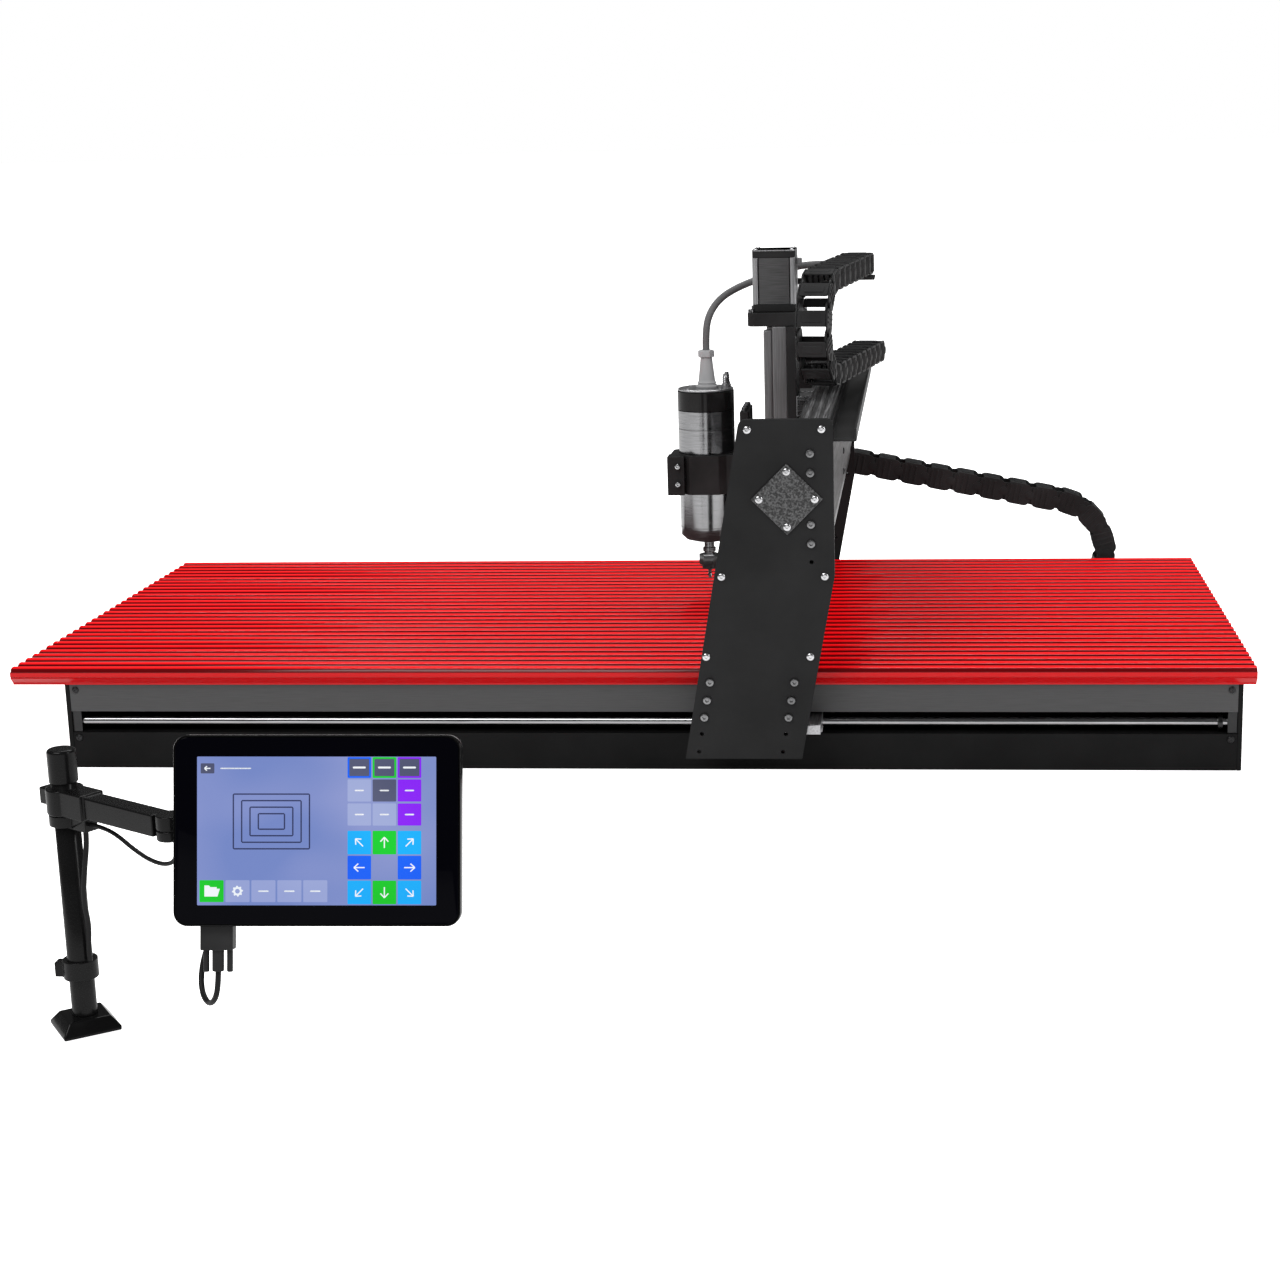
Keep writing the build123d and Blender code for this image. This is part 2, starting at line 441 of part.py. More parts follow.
def make_clamp():
    height = CLAMP_TOP - CLAMP_BOTTOM
    ring = Pos(SPINDLE_X, HEAD_Y, CLAMP_BOTTOM) * extrude(
        RegularPolygon(CLAMP_APOTHEM, 8, major_radius=False, rotation=22.5), height)
    back = block(SPINDLE_X + 20, SLIDE_FRONT, HEAD_Y - 40, HEAD_Y + 40, CLAMP_BOTTOM, CLAMP_TOP)
    ear_left, ear_right = SPINDLE_X - 52, SPINDLE_X - 28
    ear = block(ear_left, ear_right, HEAD_Y - 52, HEAD_Y - 22, CLAMP_BOTTOM, CLAMP_TOP)
    clamp = ring + back + ear
    clamp -= rod("Z", SPINDLE_R + 0.03, CLAMP_BOTTOM, CLAMP_TOP, SPINDLE_X, HEAD_Y)
    clamp -= block(ear_left, SPINDLE_X - 16, HEAD_Y - 38, HEAD_Y - 36, CLAMP_BOTTOM, CLAMP_TOP)
    bolts = []
    for z in (CLAMP_BOTTOM + 16, CLAMP_TOP - 14):
        x = ear_left + 15
        shank = rod("Y", 2.5, HEAD_Y - 52, HEAD_Y - 27, x, z)
        clamp -= shank
        bolts.append(shank + rod("Y", 3.8, HEAD_Y - 57, HEAD_Y - 52, x, z))
    save("spindle_clamp", clamp)
    save("clamp_bolts", *bolts)


def make_spindle():
    body = rod("Z", SPINDLE_R, SPINDLE_BOTTOM, SPINDLE_TOP, SPINDLE_X, HEAD_Y)
    body = chamfer(body.edges().group_by(Axis.Z)[0], SPINDLE_BEVEL, SPINDLE_BEVEL * 0.7)
    body -= rod("Z", ARBOR_R + RUNNING, SPINDLE_BOTTOM, SPINDLE_BOTTOM + 25, SPINDLE_X, HEAD_Y)
    save("spindle_body", body)
    plate_bottom = CAP_TOP - CAP_PLATE
    save("spindle_cap", rod("Z", SPINDLE_R, SPINDLE_TOP, plate_bottom, SPINDLE_X, HEAD_Y))
    fittings = [rod("Z", SPINDLE_R - 1, plate_bottom, CAP_TOP, SPINDLE_X, HEAD_Y)]
    for dy in (-9, 15):
        stub = rod("Z", 6, CAP_TOP, CAP_TOP + 6, SPINDLE_X + 29, HEAD_Y + dy)
        fittings.append(stub + rod("Z", 3.5, CAP_TOP + 6, CAP_TOP + 20, SPINDLE_X + 29, HEAD_Y + dy))
    flange = rod("Z", 15, CAP_TOP, CAP_TOP + 8, GLAND_X, HEAD_Y)
    cone = Pos(GLAND_X, HEAD_Y, CAP_TOP + 8 + 17.5) * Cone(12, 8, 35)
    nut = Pos(GLAND_X, HEAD_Y, GLAND_TOP - 10) * extrude(RegularPolygon(10, 6, major_radius=False), 10)
    save("cap_fittings", *fittings, flange + cone + nut)
    arbor = rod("Z", ARBOR_R, NUT_BOTTOM + 5, SPINDLE_BOTTOM + 23, SPINDLE_X, HEAD_Y)
    save("spindle_arbor", arbor)
    nut = Pos(SPINDLE_X, HEAD_Y, NUT_BOTTOM) * extrude(
        RegularPolygon(NUT_FLATS / 2, 6, major_radius=False), NUT_TOP - NUT_BOTTOM)
    bit = rod("Z", BIT_R, BIT_TIP, NUT_BOTTOM + 5, SPINDLE_X, HEAD_Y)
    save("collet_nut", nut - arbor - bit)
    save("router_bit", chamfer(bit.edges().group_by(Axis.Z)[0], 2.5, 1.5))


def make_spindle_cable():
    """Up out of the gland, over behind the vertical motor and down into the chain bracket's eye."""
    save("spindle_cable", cord([
        (79, 60, 495), (79, 60, 521), (84, 64, 545), (99, 76, 566), (124, 94, 580),
        (156, 110, 591), (187, 120, 601), (218, 125, 608), (CABLE_EYE_X - 0.2, CABLE_EYE_Y, CABLE_EYE_Z),
    ], 10))


def make_stand():
    base = Pos(POLE_X, POLE_Y, 0) * Rot(0, 0, FOOT_TURN)
    slab = base * Pos(0, 0, 2) * Box(FOOT_SIDE, FOOT_SIDE, 4)
    top = base * loft(Sketch() + [Pos(0, 0, 4) * Rectangle(FOOT_SIDE, FOOT_SIDE),
                                  Pos(0, 0, FOOT_HEIGHT) * Rectangle(FOOT_TOP_SIDE, FOOT_TOP_SIDE)])
    save("pendant_foot", slab + top)
    pole = rod("Z", POLE_R, FOOT_HEIGHT, POLE_TOP, POLE_X, POLE_Y)
    cap = rod("Z", POLE_R + 1.5, HUB_TOP + 5, POLE_TOP + 7, POLE_X, POLE_Y) - pole
    clip = rod("Z", POLE_R + 4.5, 50, 68, POLE_X, POLE_Y)
    clip += block(POLE_X - 22, POLE_X, POLE_Y - 8, POLE_Y + 4, 52, 66)
    save("pendant_pole", pole, fillet(cap.edges().group_by(Axis.Z)[-1], 3), clip - pole)


def make_arm():
    bore = rod("Z", POLE_R + RUNNING, COLLAR_BOTTOM - 2, HUB_TOP, POLE_X, POLE_Y)
    dx, dy = KNUCKLE_X - POLE_X, KNUCKLE_Y - POLE_Y
    length, heading = hypot(dx, dy), degrees(atan2(dy, dx))
    middle = (HUB_BOTTOM + HUB_TOP) / 2
    height = HUB_TOP - HUB_BOTTOM
    along = Pos(POLE_X, POLE_Y, middle) * Rot(0, 0, heading)
    collar = rod("Z", HUB_R - 1, COLLAR_BOTTOM, COLLAR_TOP, POLE_X, POLE_Y)
    clip = Pos(POLE_X, POLE_Y, COLLAR_TOP - 6) * Rot(0, 0, heading) * Pos(22, 0, 0) * Box(26, 14, 12)
    save("arm_collar", collar + clip - bore)
    hub = rod("Z", HUB_R, HUB_BOTTOM, HUB_TOP, POLE_X, POLE_Y)
    sleeve = along * Pos(length * 0.16, 0, 0) * Box(length * 0.22, 26, height)
    tube = along * Pos(length * 0.56, 0, 0) * Box(length * 0.72, 20, height - 4)
    lug = along * Pos(-19, 0, 2) * Box(14, 18, height - 8)
    end = rod("Z", KNUCKLE_R, HUB_BOTTOM, KNUCKLE_SPLIT - LOOSE, KNUCKLE_X, KNUCKLE_Y)
    clear = rod("Z", KNUCKLE_R + 0.5, KNUCKLE_SPLIT - LOOSE, HUB_TOP, KNUCKLE_X, KNUCKLE_Y)
    pin_hole = rod("Z", 5 + RUNNING, HUB_BOTTOM, KNUCKLE_SPLIT, KNUCKLE_X, KNUCKLE_Y)
    save("front_arm", hub + sleeve + tube + lug + end - clear - pin_hole - bore)


def display_place():
    """Location of the display's own frame: x along it, y into it from the glass, z up it."""
    return Pos(*DISPLAY_CENTRE) * Rot(0, 0, DISPLAY_PAN) * Rot(DISPLAY_TILT, 0, 0)


def make_rear_arm():
    pivot = (display_place() * Pos(0, TILT_AXIS_DEPTH, 0)).position
    top = HUB_TOP - 1
    body = rod("Z", KNUCKLE_R, KNUCKLE_SPLIT, top, KNUCKLE_X, KNUCKLE_Y)
    body += rod("Z", 5, HUB_BOTTOM + 2, KNUCKLE_SPLIT, KNUCKLE_X, KNUCKLE_Y)
    behind = (Pos(*pivot) * Rot(0, 0, DISPLAY_PAN) * Pos(0, 20, 0)).position
    dx, dy = behind.X - KNUCKLE_X, behind.Y - KNUCKLE_Y
    length, heading = hypot(dx, dy), degrees(atan2(dy, dx))
    middle, height = (KNUCKLE_SPLIT + top) / 2, top - KNUCKLE_SPLIT
    along = Pos(KNUCKLE_X, KNUCKLE_Y, middle) * Rot(0, 0, heading)
    bar = along * Pos(length / 2, 0, 0) * Box(length, 14, height)
    bar += Pos(behind.X, behind.Y, middle) * Rot(0, 0, DISPLAY_PAN) * Pos(0, -8, 0) * Box(20, 26, height)
    barrel = Pos(*pivot) * Rot(0, 0, DISPLAY_PAN) * Rot(0, 90, 0)
    bore = barrel * Cylinder(4 + RUNNING, 40)
    save("rear_arm", body + bar + barrel * Cylinder(8, 24) - bore)
    place = display_place()
    head = place * Pos(0, DISPLAY_DEPTH + 2, 0) * Box(80, 4, 80)
    for side in (-1, 1):
        x = side * (12 + LOOSE + 3)
        ear_start = DISPLAY_DEPTH + 4
        head += place * Pos(x, (ear_start + TILT_AXIS_DEPTH) / 2, 0) * Box(6, TILT_AXIS_DEPTH - ear_start, 16)
        head += place * Pos(x, TILT_AXIS_DEPTH, 0) * Rot(0, 90, 0) * Cylinder(8, 6)
    head += barrel * Cylinder(4, 2 * (18 + LOOSE))
    save("tilt_head", head)


def make_display():
    place = display_place() * Rot(0, DISPLAY_ROLL, 0)
    outline = RectangleRounded(DISPLAY_WIDTH, DISPLAY_HEIGHT, DISPLAY_CORNER)
    shell = extrude(Plane.XZ * outline, -(DISPLAY_DEPTH - GLASS))
    housing = Pos(0, GLASS, 0) * fillet(shell.edges().group_by(Axis.Y)[-1], 5)
    inner = RectangleRounded(DISPLAY_WIDTH - 2 * GLASS_BORDER, DISPLAY_HEIGHT - 2 * GLASS_BORDER,
                             DISPLAY_CORNER - GLASS_BORDER)
    save("display_housing", place * housing)
    save("display_glass", place * extrude(Plane.XZ * inner, -GLASS))
    bottom = -DISPLAY_HEIGHT / 2
    plug = Pos(PLUG_X, PLUG_DEPTH, bottom - 10.5) * Box(27.7, 14, 21)
    plug += Pos(PLUG_X, PLUG_DEPTH, bottom - 30) * Cylinder(5, 19)
    screws = [Pos(PLUG_X + dx, PLUG_DEPTH, bottom - 30.5) * Cylinder(2.6, 19) for dx in (-10, 10)]
    save("display_plug", *[place * piece for piece in (plug, *screws)])


def make_pendant_cables():
    save("display_cable", cord([
        (-211.1, -1354.1, 116.6), (-211.2, -1357.1, 103.7), (-216, -1354.5, 90), (-225, -1345, 83),
        (-234, -1333, 88), (-238, -1321, 101), (-236, -1309, 119), (-227, -1299, 140), (-211, -1291, 163),
        (-190, -1281, 186), (-172, -1274, 202), (-172, -1274, 218.7),
    ], 5))
    save("arm_cable", cord([
        (-264, -1283, 208.7), (-264, -1283, 194), (-274.5, -1276, 184), (-294, -1263.7, 183),
        (-315, -1250.5, 190), (-332, -1240.2, 199), (-347.9, -1230.2, 203), (-363.2, -1220.7, 203),
    ], 4))
    save("pole_cable", cord([
        (-371, -1216, 196.3), (-371, -1216, 184), (-374, -1219.5, 160), (-378.5, -1217.5, 130),
        (-377.5, -1212, 104), (-380.3, -1210.5, 84), (-380.3, -1210.5, 68.7),
    ], 5))


def main():
    os.makedirs("parts", exist_ok=True)
    make_bed()
    make_base()
    make_long_drive()
    make_chain_tray()
    make_side_plates()
    make_gantry()
    make_gantry_feet()
    make_long_chain()
    make_carriage()
    make_cross_chain()
    make_slide()
    make_clamp()
    make_spindle()
    make_spindle_cable()
    make_stand()
    make_arm()
    make_rear_arm()
    make_display()
    make_pendant_cables()


main()
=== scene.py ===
"""Looks of a long-bed router: ribbed red bed, travelling gantry, spindle head, drag chains and touch pendant.

Every length is in metres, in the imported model's frame: +X along the bed, +Y away from the pendant, +Z up.
Shapes are grids of points worked out as whole arrays: a ring or outline carried along an axis or a path."""

import json
from math import atan2, cos, pi, radians, sin

import bmesh
import bpy
import numpy as np
from mathutils import Matrix, Vector

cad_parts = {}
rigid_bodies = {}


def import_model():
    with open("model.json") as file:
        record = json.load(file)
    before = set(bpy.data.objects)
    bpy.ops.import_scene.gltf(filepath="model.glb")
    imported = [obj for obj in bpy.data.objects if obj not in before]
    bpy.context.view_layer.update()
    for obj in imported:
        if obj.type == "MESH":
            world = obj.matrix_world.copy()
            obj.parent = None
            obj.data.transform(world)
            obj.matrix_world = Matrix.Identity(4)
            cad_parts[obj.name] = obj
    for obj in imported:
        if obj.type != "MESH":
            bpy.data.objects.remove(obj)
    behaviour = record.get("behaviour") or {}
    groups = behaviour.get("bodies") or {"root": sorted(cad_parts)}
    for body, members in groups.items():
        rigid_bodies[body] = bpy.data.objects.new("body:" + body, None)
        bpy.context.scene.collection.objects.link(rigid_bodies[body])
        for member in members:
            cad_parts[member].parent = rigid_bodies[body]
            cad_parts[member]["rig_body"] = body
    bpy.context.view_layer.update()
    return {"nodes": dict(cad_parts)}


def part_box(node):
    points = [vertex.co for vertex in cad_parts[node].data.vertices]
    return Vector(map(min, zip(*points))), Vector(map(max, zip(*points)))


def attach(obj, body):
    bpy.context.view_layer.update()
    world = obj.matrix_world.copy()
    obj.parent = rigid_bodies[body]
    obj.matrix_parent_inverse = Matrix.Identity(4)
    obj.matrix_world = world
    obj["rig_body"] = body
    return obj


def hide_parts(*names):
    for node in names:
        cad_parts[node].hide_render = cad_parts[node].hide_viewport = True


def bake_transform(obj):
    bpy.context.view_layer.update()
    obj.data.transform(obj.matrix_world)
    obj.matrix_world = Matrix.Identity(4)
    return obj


MM = 0.001

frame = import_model()


# ---------------------------------------------------------------- outlines and skins

def circle(radius, count=32):
    """Points (radius cos a, radius sin a) for a from 0 to a full turn."""
    a = np.linspace(0, 2 * pi, count, endpoint=False)
    return np.stack([radius * np.cos(a), radius * np.sin(a)], axis=1)


def hexagon(flats, count=24):
    """A circle's angles with radius half the flats over cos(angle to the nearest flat's middle)."""
    a = np.linspace(0, 2 * pi, count, endpoint=False)
    radius = flats / 2 / np.cos(np.mod(a, pi / 3) - pi / 6)
    return np.stack([radius * np.cos(a), radius * np.sin(a)], axis=1)


def rounded(width, height, corner, steps=5):
    """A rectangle whose corners are quarter circles: corner centre plus corner times (cos a, sin a)."""
    a = np.linspace(0, pi / 2, steps)
    arc = corner * np.stack([np.cos(a), np.sin(a)], axis=1)
    x, y = width / 2 - corner, height / 2 - corner
    right_top, left_top = arc + (x, y), arc[:, ::-1] * (-1, 1) + (-x, y)
    left_bottom, right_bottom = -arc + (-x, -y), arc[:, ::-1] * (1, -1) + (x, -y)
    return np.concatenate([right_top, left_top, left_bottom, right_bottom])


def raised(outline, height):
    """The outline as a ring at that height."""
    return np.column_stack([outline, np.full(len(outline), height)])


def skin(rings, ends=True):
    """Quads between each ring and the next, counter-clockwise seen from the last, and a flat face per end."""
    rings = np.asarray(rings, float)
    index = np.arange(rings.shape[0] * rings.shape[1]).reshape(rings.shape[:2])
    beside = np.roll(index, -1, axis=1)
    quads = np.stack([index[:-1], beside[:-1], beside[1:], index[1:]], axis=-1).reshape(-1, 4)
    caps = [index[0, ::-1].tolist(), index[-1].tolist()] if ends else []
    return rings.reshape(-1, 3), quads.tolist() + caps


def turned(profile, around=40):
    """A profile of (radius, height) pairs turned round the Z axis."""
    return skin([raised(circle(radius, around), height) for radius, height in profile])


def slab(width, depth, height, corner=0.001, bevel=0.0004):
    """A block centred on the origin: a rounded rectangle, drawn in by the bevel at its top and bottom."""
    inner = rounded(width - 2 * bevel, depth - 2 * bevel, max(corner - bevel, corner / 2))
    outer = rounded(width, depth, corner)
    top = height / 2
    return skin([raised(inner, -top), raised(outer, bevel - top),
                 raised(outer, top - bevel), raised(inner, top)])


def moved(part, matrix):
    """The part with every point taken through a 4 by 4 matrix."""
    points, faces = part
    matrix = np.array(matrix)
    return points @ matrix[:3, :3].T + matrix[:3, 3], faces


def at(x, y, z):
    """A shift by x, y and z."""
    return Matrix.Translation((x, y, z))


def facing(place, direction):
    """Takes +Z to the direction and the origin to the place."""
    return Matrix.Translation(place) @ Vector(direction).to_track_quat("Z", "Y").to_matrix().to_4x4()


def middle(node):
    """Halfway between a node's lowest and highest corners."""
    low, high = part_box(node)
    return (low + high) / 2


# ---------------------------------------------------------------- pieces

def add_piece(name, parts, material, body, replaces=(), crease=35):
    """One object from (points, faces) parts, smooth below the crease angle and sharp above it."""
    starts = np.cumsum([0] + [len(points) for points, _ in parts])
    faces = [[i + start for i in face]
             for (_, part_faces), start in zip(parts, starts) for face in part_faces]
    mesh = bpy.data.meshes.new(name)
    mesh.from_pydata(np.concatenate([points for points, _ in parts]).tolist(), [], faces)
    mesh.materials.append(material)
    mesh.shade_smooth()
    mesh.set_sharp_from_angle(angle=radians(crease))
    return settle(bpy.data.objects.new(name, mesh), body, replaces)


def settle(piece, body, replaces=()):
    """Links the piece to the scene, rides it on its body, and hides the nodes it stands for."""
    if piece.name not in bpy.context.scene.collection.objects:
        bpy.context.scene.collection.objects.link(piece)
    if body:
        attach(piece, body)
    if replaces:
        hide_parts(*replaces)
    return piece


def merged(node):
    """A CAD node's mesh as a bmesh, with its loose triangles joined and its flat faces made whole."""
    work = bmesh.new()
    work.from_mesh(frame["nodes"][node].data)
    bmesh.ops.remove_doubles(work, verts=work.verts, dist=2e-6)
    bmesh.ops.dissolve_limit(work, angle_limit=radians(0.5), verts=work.verts, edges=work.edges)
    return work


def machined(node, material, edge=0.5 * MM):
    """A copy of a CAD node whose sharp edges are rounded, as deburred metal is."""
    work = merged(node)
    mesh = bpy.data.meshes.new(f"{node}_finished")
    work.to_mesh(mesh)
    work.free()
    mesh.materials.append(material)
    mesh.shade_smooth()
    piece = bpy.data.objects.new(f"{node}_finished", mesh)
    bevel = piece.modifiers.new("rounded_edges", "BEVEL")
    bevel.width = edge
    bevel.segments = 2
    bevel.limit_method = "ANGLE"
    bevel.angle_limit = radians(40)
    bevel.use_clamp_overlap = False
    normals = piece.modifiers.new("face_normals", "WEIGHTED_NORMAL")
    normals.mode = "FACE_AREA"
    normals.weight = 100
    return settle(piece, frame["nodes"][node]["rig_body"], [node])


def dress(node, material):
    """Gives a CAD node that stays as it is a better finish."""
    node_object = frame["nodes"][node]
    node_object.data.materials.clear()
    node_object.data.materials.append(material)


def solids(node):
    """(lowest corner, highest corner) of each separate solid in a CAD node."""
    work = merged(node)
    work.verts.ensure_lookup_table()
    seen, boxes = set(), []
    for vert in work.verts:
        if vert.index in seen:
            continue
        island, stack = [], [vert]
        seen.add(vert.index)
        while stack:
            current = stack.pop()
            island.append(tuple(current.co))
            for edge in current.link_edges:
                other = edge.other_vert(current)
                if other.index not in seen:
                    seen.add(other.index)
                    stack.append(other)
        corners = np.array(island)
        boxes.append((corners.min(axis=0), corners.max(axis=0)))
    work.free()
    return boxes


# ---------------------------------------------------------------- finishes

def shader(name, colour, roughness, metallic=0.0, coat=0.0, coat_roughness=0.08):
    """A new material with plain values on its Principled shader."""
    material = bpy.data.materials.new(name)
    material.use_nodes = True
    principled = material.node_tree.nodes["Principled BSDF"]
    principled.inputs["Base Color"].default_value = (*colour, 1)
    principled.inputs["Roughness"].default_value = roughness
    principled.inputs["Metallic"].default_value = metallic
    principled.inputs["Coat Weight"].default_value = coat
    principled.inputs["Coat Roughness"].default_value = coat_roughness
    return material, material.node_tree, principled


def noise(tree, scale, stretch=(1, 1, 1), detail=3.0):
    """Noise on Object coordinates, drawn out where stretch is under 1."""
    coordinates = tree.nodes.new("ShaderNodeTexCoord")
    mapping = tree.nodes.new("ShaderNodeMapping")
    mapping.inputs["Scale"].default_value = stretch
    texture = tree.nodes.new("ShaderNodeTexNoise")
    texture.inputs["Scale"].default_value = scale
    texture.inputs["Detail"].default_value = detail
    tree.links.new(coordinates.outputs["Object"], mapping.inputs["Vector"])
    tree.links.new(mapping.outputs["Vector"], texture.inputs["Vector"])
    return texture.outputs["Fac"]


def colour_by(tree, principled, value, dark, light, low=0.3, high=0.7):
    """Base colour from dark to light as the value goes from low to high."""
    ramp = tree.nodes.new("ShaderNodeValToRGB")
    ramp.color_ramp.elements[0].position = low
    ramp.color_ramp.elements[0].color = (*dark, 1)
    ramp.color_ramp.elements[1].position = high
    ramp.color_ramp.elements[1].color = (*light, 1)
    tree.links.new(value, ramp.inputs["Fac"])
    tree.links.new(ramp.outputs["Color"], principled.inputs["Base Color"])


def roughness_by(tree, principled, value, low, high):
    """Roughness from low to high as the value goes from 0.3 to 0.7."""
    spread = tree.nodes.new("ShaderNodeMapRange")
    spread.inputs["From Min"].default_value = 0.3
    spread.inputs["From Max"].default_value = 0.7
    spread.inputs["To Min"].default_value = low
    spread.inputs["To Max"].default_value = high
    tree.links.new(value, spread.inputs["Value"])
    tree.links.new(spread.outputs["Result"], principled.inputs["Roughness"])


def relief(tree, principled, value, distance, strength=0.6):
    """Bump of that height in metres."""
    bump = tree.nodes.new("ShaderNodeBump")
    bump.inputs["Strength"].default_value = strength
    bump.inputs["Distance"].default_value = distance
    tree.links.new(value, bump.inputs["Height"])
    tree.links.new(bump.outputs["Normal"], principled.inputs["Normal"])


def grey(value):
    """A grey with 2 per cent more blue than red and green."""
    return (value, value, value * 1.02)


def red_anodised():
    """Glossy red aluminium, with painted shade on the rib flanks and grooves, a painted highlight on the
    crests, and muted where metal reflects it.
    """
    material, tree, principled = shader("red_anodised", (0.6, 0.003, 0.004), 0.15, coat=0.04)
    principled.inputs["Specular IOR Level"].default_value = 0.2
    coordinates = tree.nodes.new("ShaderNodeTexCoord")
    height = tree.nodes.new("ShaderNodeSeparateXYZ")
    tree.links.new(coordinates.outputs["Object"], height.inputs["Vector"])
    depth = tree.nodes.new("ShaderNodeMapRange")
    depth.inputs["From Min"].default_value = 120 * MM
    depth.inputs["From Max"].default_value = 136 * MM
    tree.links.new(height.outputs["Z"], depth.inputs["Value"])
    # Colour by height: plain red on the upright front face, painted shade on the lower part of each rib and
    # in the grooves, and a painted highlight on the crests, brighter than the plain red.
    face, groove, crest = (0.50, 0.002, 0.004), (0.10, 0.0, 0.001), (0.88, 0.003, 0.006)
    colour_by(tree, principled, depth.outputs["Result"], face, crest, 0.62, 0.985)
    ramp = principled.inputs["Base Color"].links[0].from_node.color_ramp
    for position in (0.69, 0.905):
        ramp.elements.new(position).color = (*groove, 1)
    ramped = principled.inputs["Base Color"].links[0].from_socket
    mute = tree.nodes.new("ShaderNodeMixRGB")
    mute.inputs["Color2"].default_value = (0.08, 0.05, 0.05, 1)
    path = tree.nodes.new("ShaderNodeLightPath")
    tree.links.new(path.outputs["Is Glossy Ray"], mute.inputs["Fac"])
    tree.links.new(ramped, mute.inputs["Color1"])
    tree.links.new(mute.outputs["Color"], principled.inputs["Base Color"])
    return material


def brushed(name, dark, light, roughness, metallic, along="X", scale=700, depth=0.00002):
    """Metal with fine scratches along one axis, which are noise drawn out that way."""
    stretch = {"X": (0.03, 1, 1), "Y": (1, 0.03, 1), "Z": (1, 1, 0.03)}[along]
    material, tree, principled = shader(name, grey(light), roughness, metallic)
    scratches = noise(tree, scale, stretch)
    colour_by(tree, principled, scratches, grey(dark), grey(light))
    roughness_by(tree, principled, scratches, roughness * 0.8, roughness * 1.25)
    relief(tree, principled, scratches, depth)
    return material


def painted(name, dark, light, roughness, grain=1400, depth=0.00004, coat=0.0):
    """Paint or powder coat: fine even grain, and faint broad patches where it is handled."""
    material, tree, principled = shader(name, grey(light), roughness, coat=coat)
    principled.inputs["Specular IOR Level"].default_value = 0.1
    colour_by(tree, principled, noise(tree, 14, detail=5), grey(dark), grey(light), 0.25, 0.75)
    fine = noise(tree, grain)
    roughness_by(tree, principled, fine, roughness * 0.85, roughness * 1.15)
    relief(tree, principled, fine, depth)
    return material


def speckled_cover():
    """Coarse crackle paint, from one coarse noise that sets both its colour and its bumps."""
    material, tree, principled = shader("crackle_black", grey(0.03), 0.5)
    coarse = noise(tree, 420, detail=5)
    colour_by(tree, principled, coarse, grey(0.012), grey(0.085), 0.42, 0.62)
    relief(tree, principled, coarse, 0.0006, 0.9)
    return material


def spun_steel():
    """Polished steel with faint rings round the axis, as a lathe leaves."""
    material, tree, principled = shader("spun_steel", grey(0.36), 0.17, 1.0)
    rings = noise(tree, 900, (0.04, 0.04, 1))
    colour_by(tree, principled, rings, grey(0.26), grey(0.42))
    roughness_by(tree, principled, rings, 0.13, 0.24)
    relief(tree, principled, rings, 0.000015)
    return material


def laminated():
    """A motor's stack of sheets: fine lines across its axis."""
    material, tree, principled = shader("laminated_core", grey(0.12), 0.42, 0.6)
    sheets = noise(tree, 1500, (0.02, 0.02, 1), 2)
    colour_by(tree, principled, sheets, grey(0.055), grey(0.11))
    relief(tree, principled, sheets, 0.00005)
    return material


def lit(name, colour, light, strength=1.0):
    """A lit part of the screen, behind glossy glass."""
    material, tree, principled = shader(name, (0.01, 0.01, 0.012), 0.12, coat=0.6, coat_roughness=0.03)
    principled.inputs["Emission Strength"].default_value = strength
    ramp = tree.nodes.new("ShaderNodeValToRGB")
    ramp.color_ramp.elements[0].color = (*colour, 1)
    ramp.color_ramp.elements[1].color = (*light, 1)
    ramp.color_ramp.elements[0].position = 0.35
    ramp.color_ramp.elements[1].position = 0.65
    tree.links.new(noise(tree, 9, (1, 1, 1.6), 1), ramp.inputs["Fac"])
    tree.links.new(ramp.outputs["Color"], principled.inputs["Emission Color"])
    return material


RED = red_anodised()
RAIL_GREY = brushed("rail_grey", 0.04, 0.06, 0.55, 0.1, scale=900, depth=0.00002)
RAIL_BLACK = painted("rail_black", 0.004, 0.007, 0.5)
PLATE_BLACK = painted("plate_black", 0.012, 0.018, 0.5)
CARRIAGE_BLACK = painted("carriage_black", 0.012, 0.03, 0.36, 900)
CRACKLE = speckled_cover()
ALUMINIUM = brushed("aluminium", 0.38, 0.6, 0.34, 1.0, "Y")
COLUMN = brushed("column_aluminium", 0.14, 0.22, 0.36, 0.6, "Z")
BEAM = brushed("beam_grey", 0.09, 0.17, 0.34, 0.8, "Y")
PANEL = brushed("panel_grey", 0.06, 0.09, 0.5, 0.2, "Y", 500)
STEEL = spun_steel()
CHROME = brushed("ground_steel", 0.3, 0.45, 0.1, 1.0)
ZINC = painted("zinc_plate", 0.55, 0.75, 0.24, 2200, 0.00002)
OXIDE = painted("black_oxide", 0.03, 0.06, 0.32, 2200, 0.00002)
ENAMEL = painted("motor_enamel", 0.01, 0.02, 0.3)
CORE = laminated()
BRONZE, _, _ = shader("bronze", (0.5, 0.33, 0.13), 0.35, 1.0)
NYLON = painted("black_nylon", 0.012, 0.03, 0.42, 1100, 0.00005)
CAP = painted("cap_black", 0.006, 0.012, 0.25, coat=0.3)
SHEATH = painted("grey_sheath", 0.09, 0.14, 0.5, 900)
BLACK_SHEATH = painted("black_sheath", 0.008, 0.014, 0.35, 900)
TUBE_BLACK = painted("tube_black", 0.004, 0.007, 0.26, 1000, coat=0.1)
GLOSS = painted("gloss_black", 0.003, 0.005, 0.14, 60, 0.00001, coat=0.15)
for metal in (ZINC, OXIDE):
    metal.node_tree.nodes["Principled BSDF"].inputs["Metallic"].default_value = 1.0
for glossy in (GLOSS, CAP):
    glossy.node_tree.nodes["Principled BSDF"].inputs["Coat Roughness"].default_value = 0.05
GLOSS.node_tree.nodes["Principled BSDF"].inputs["Coat Weight"].default_value = 0.04


# ---------------------------------------------------------------- bed and base

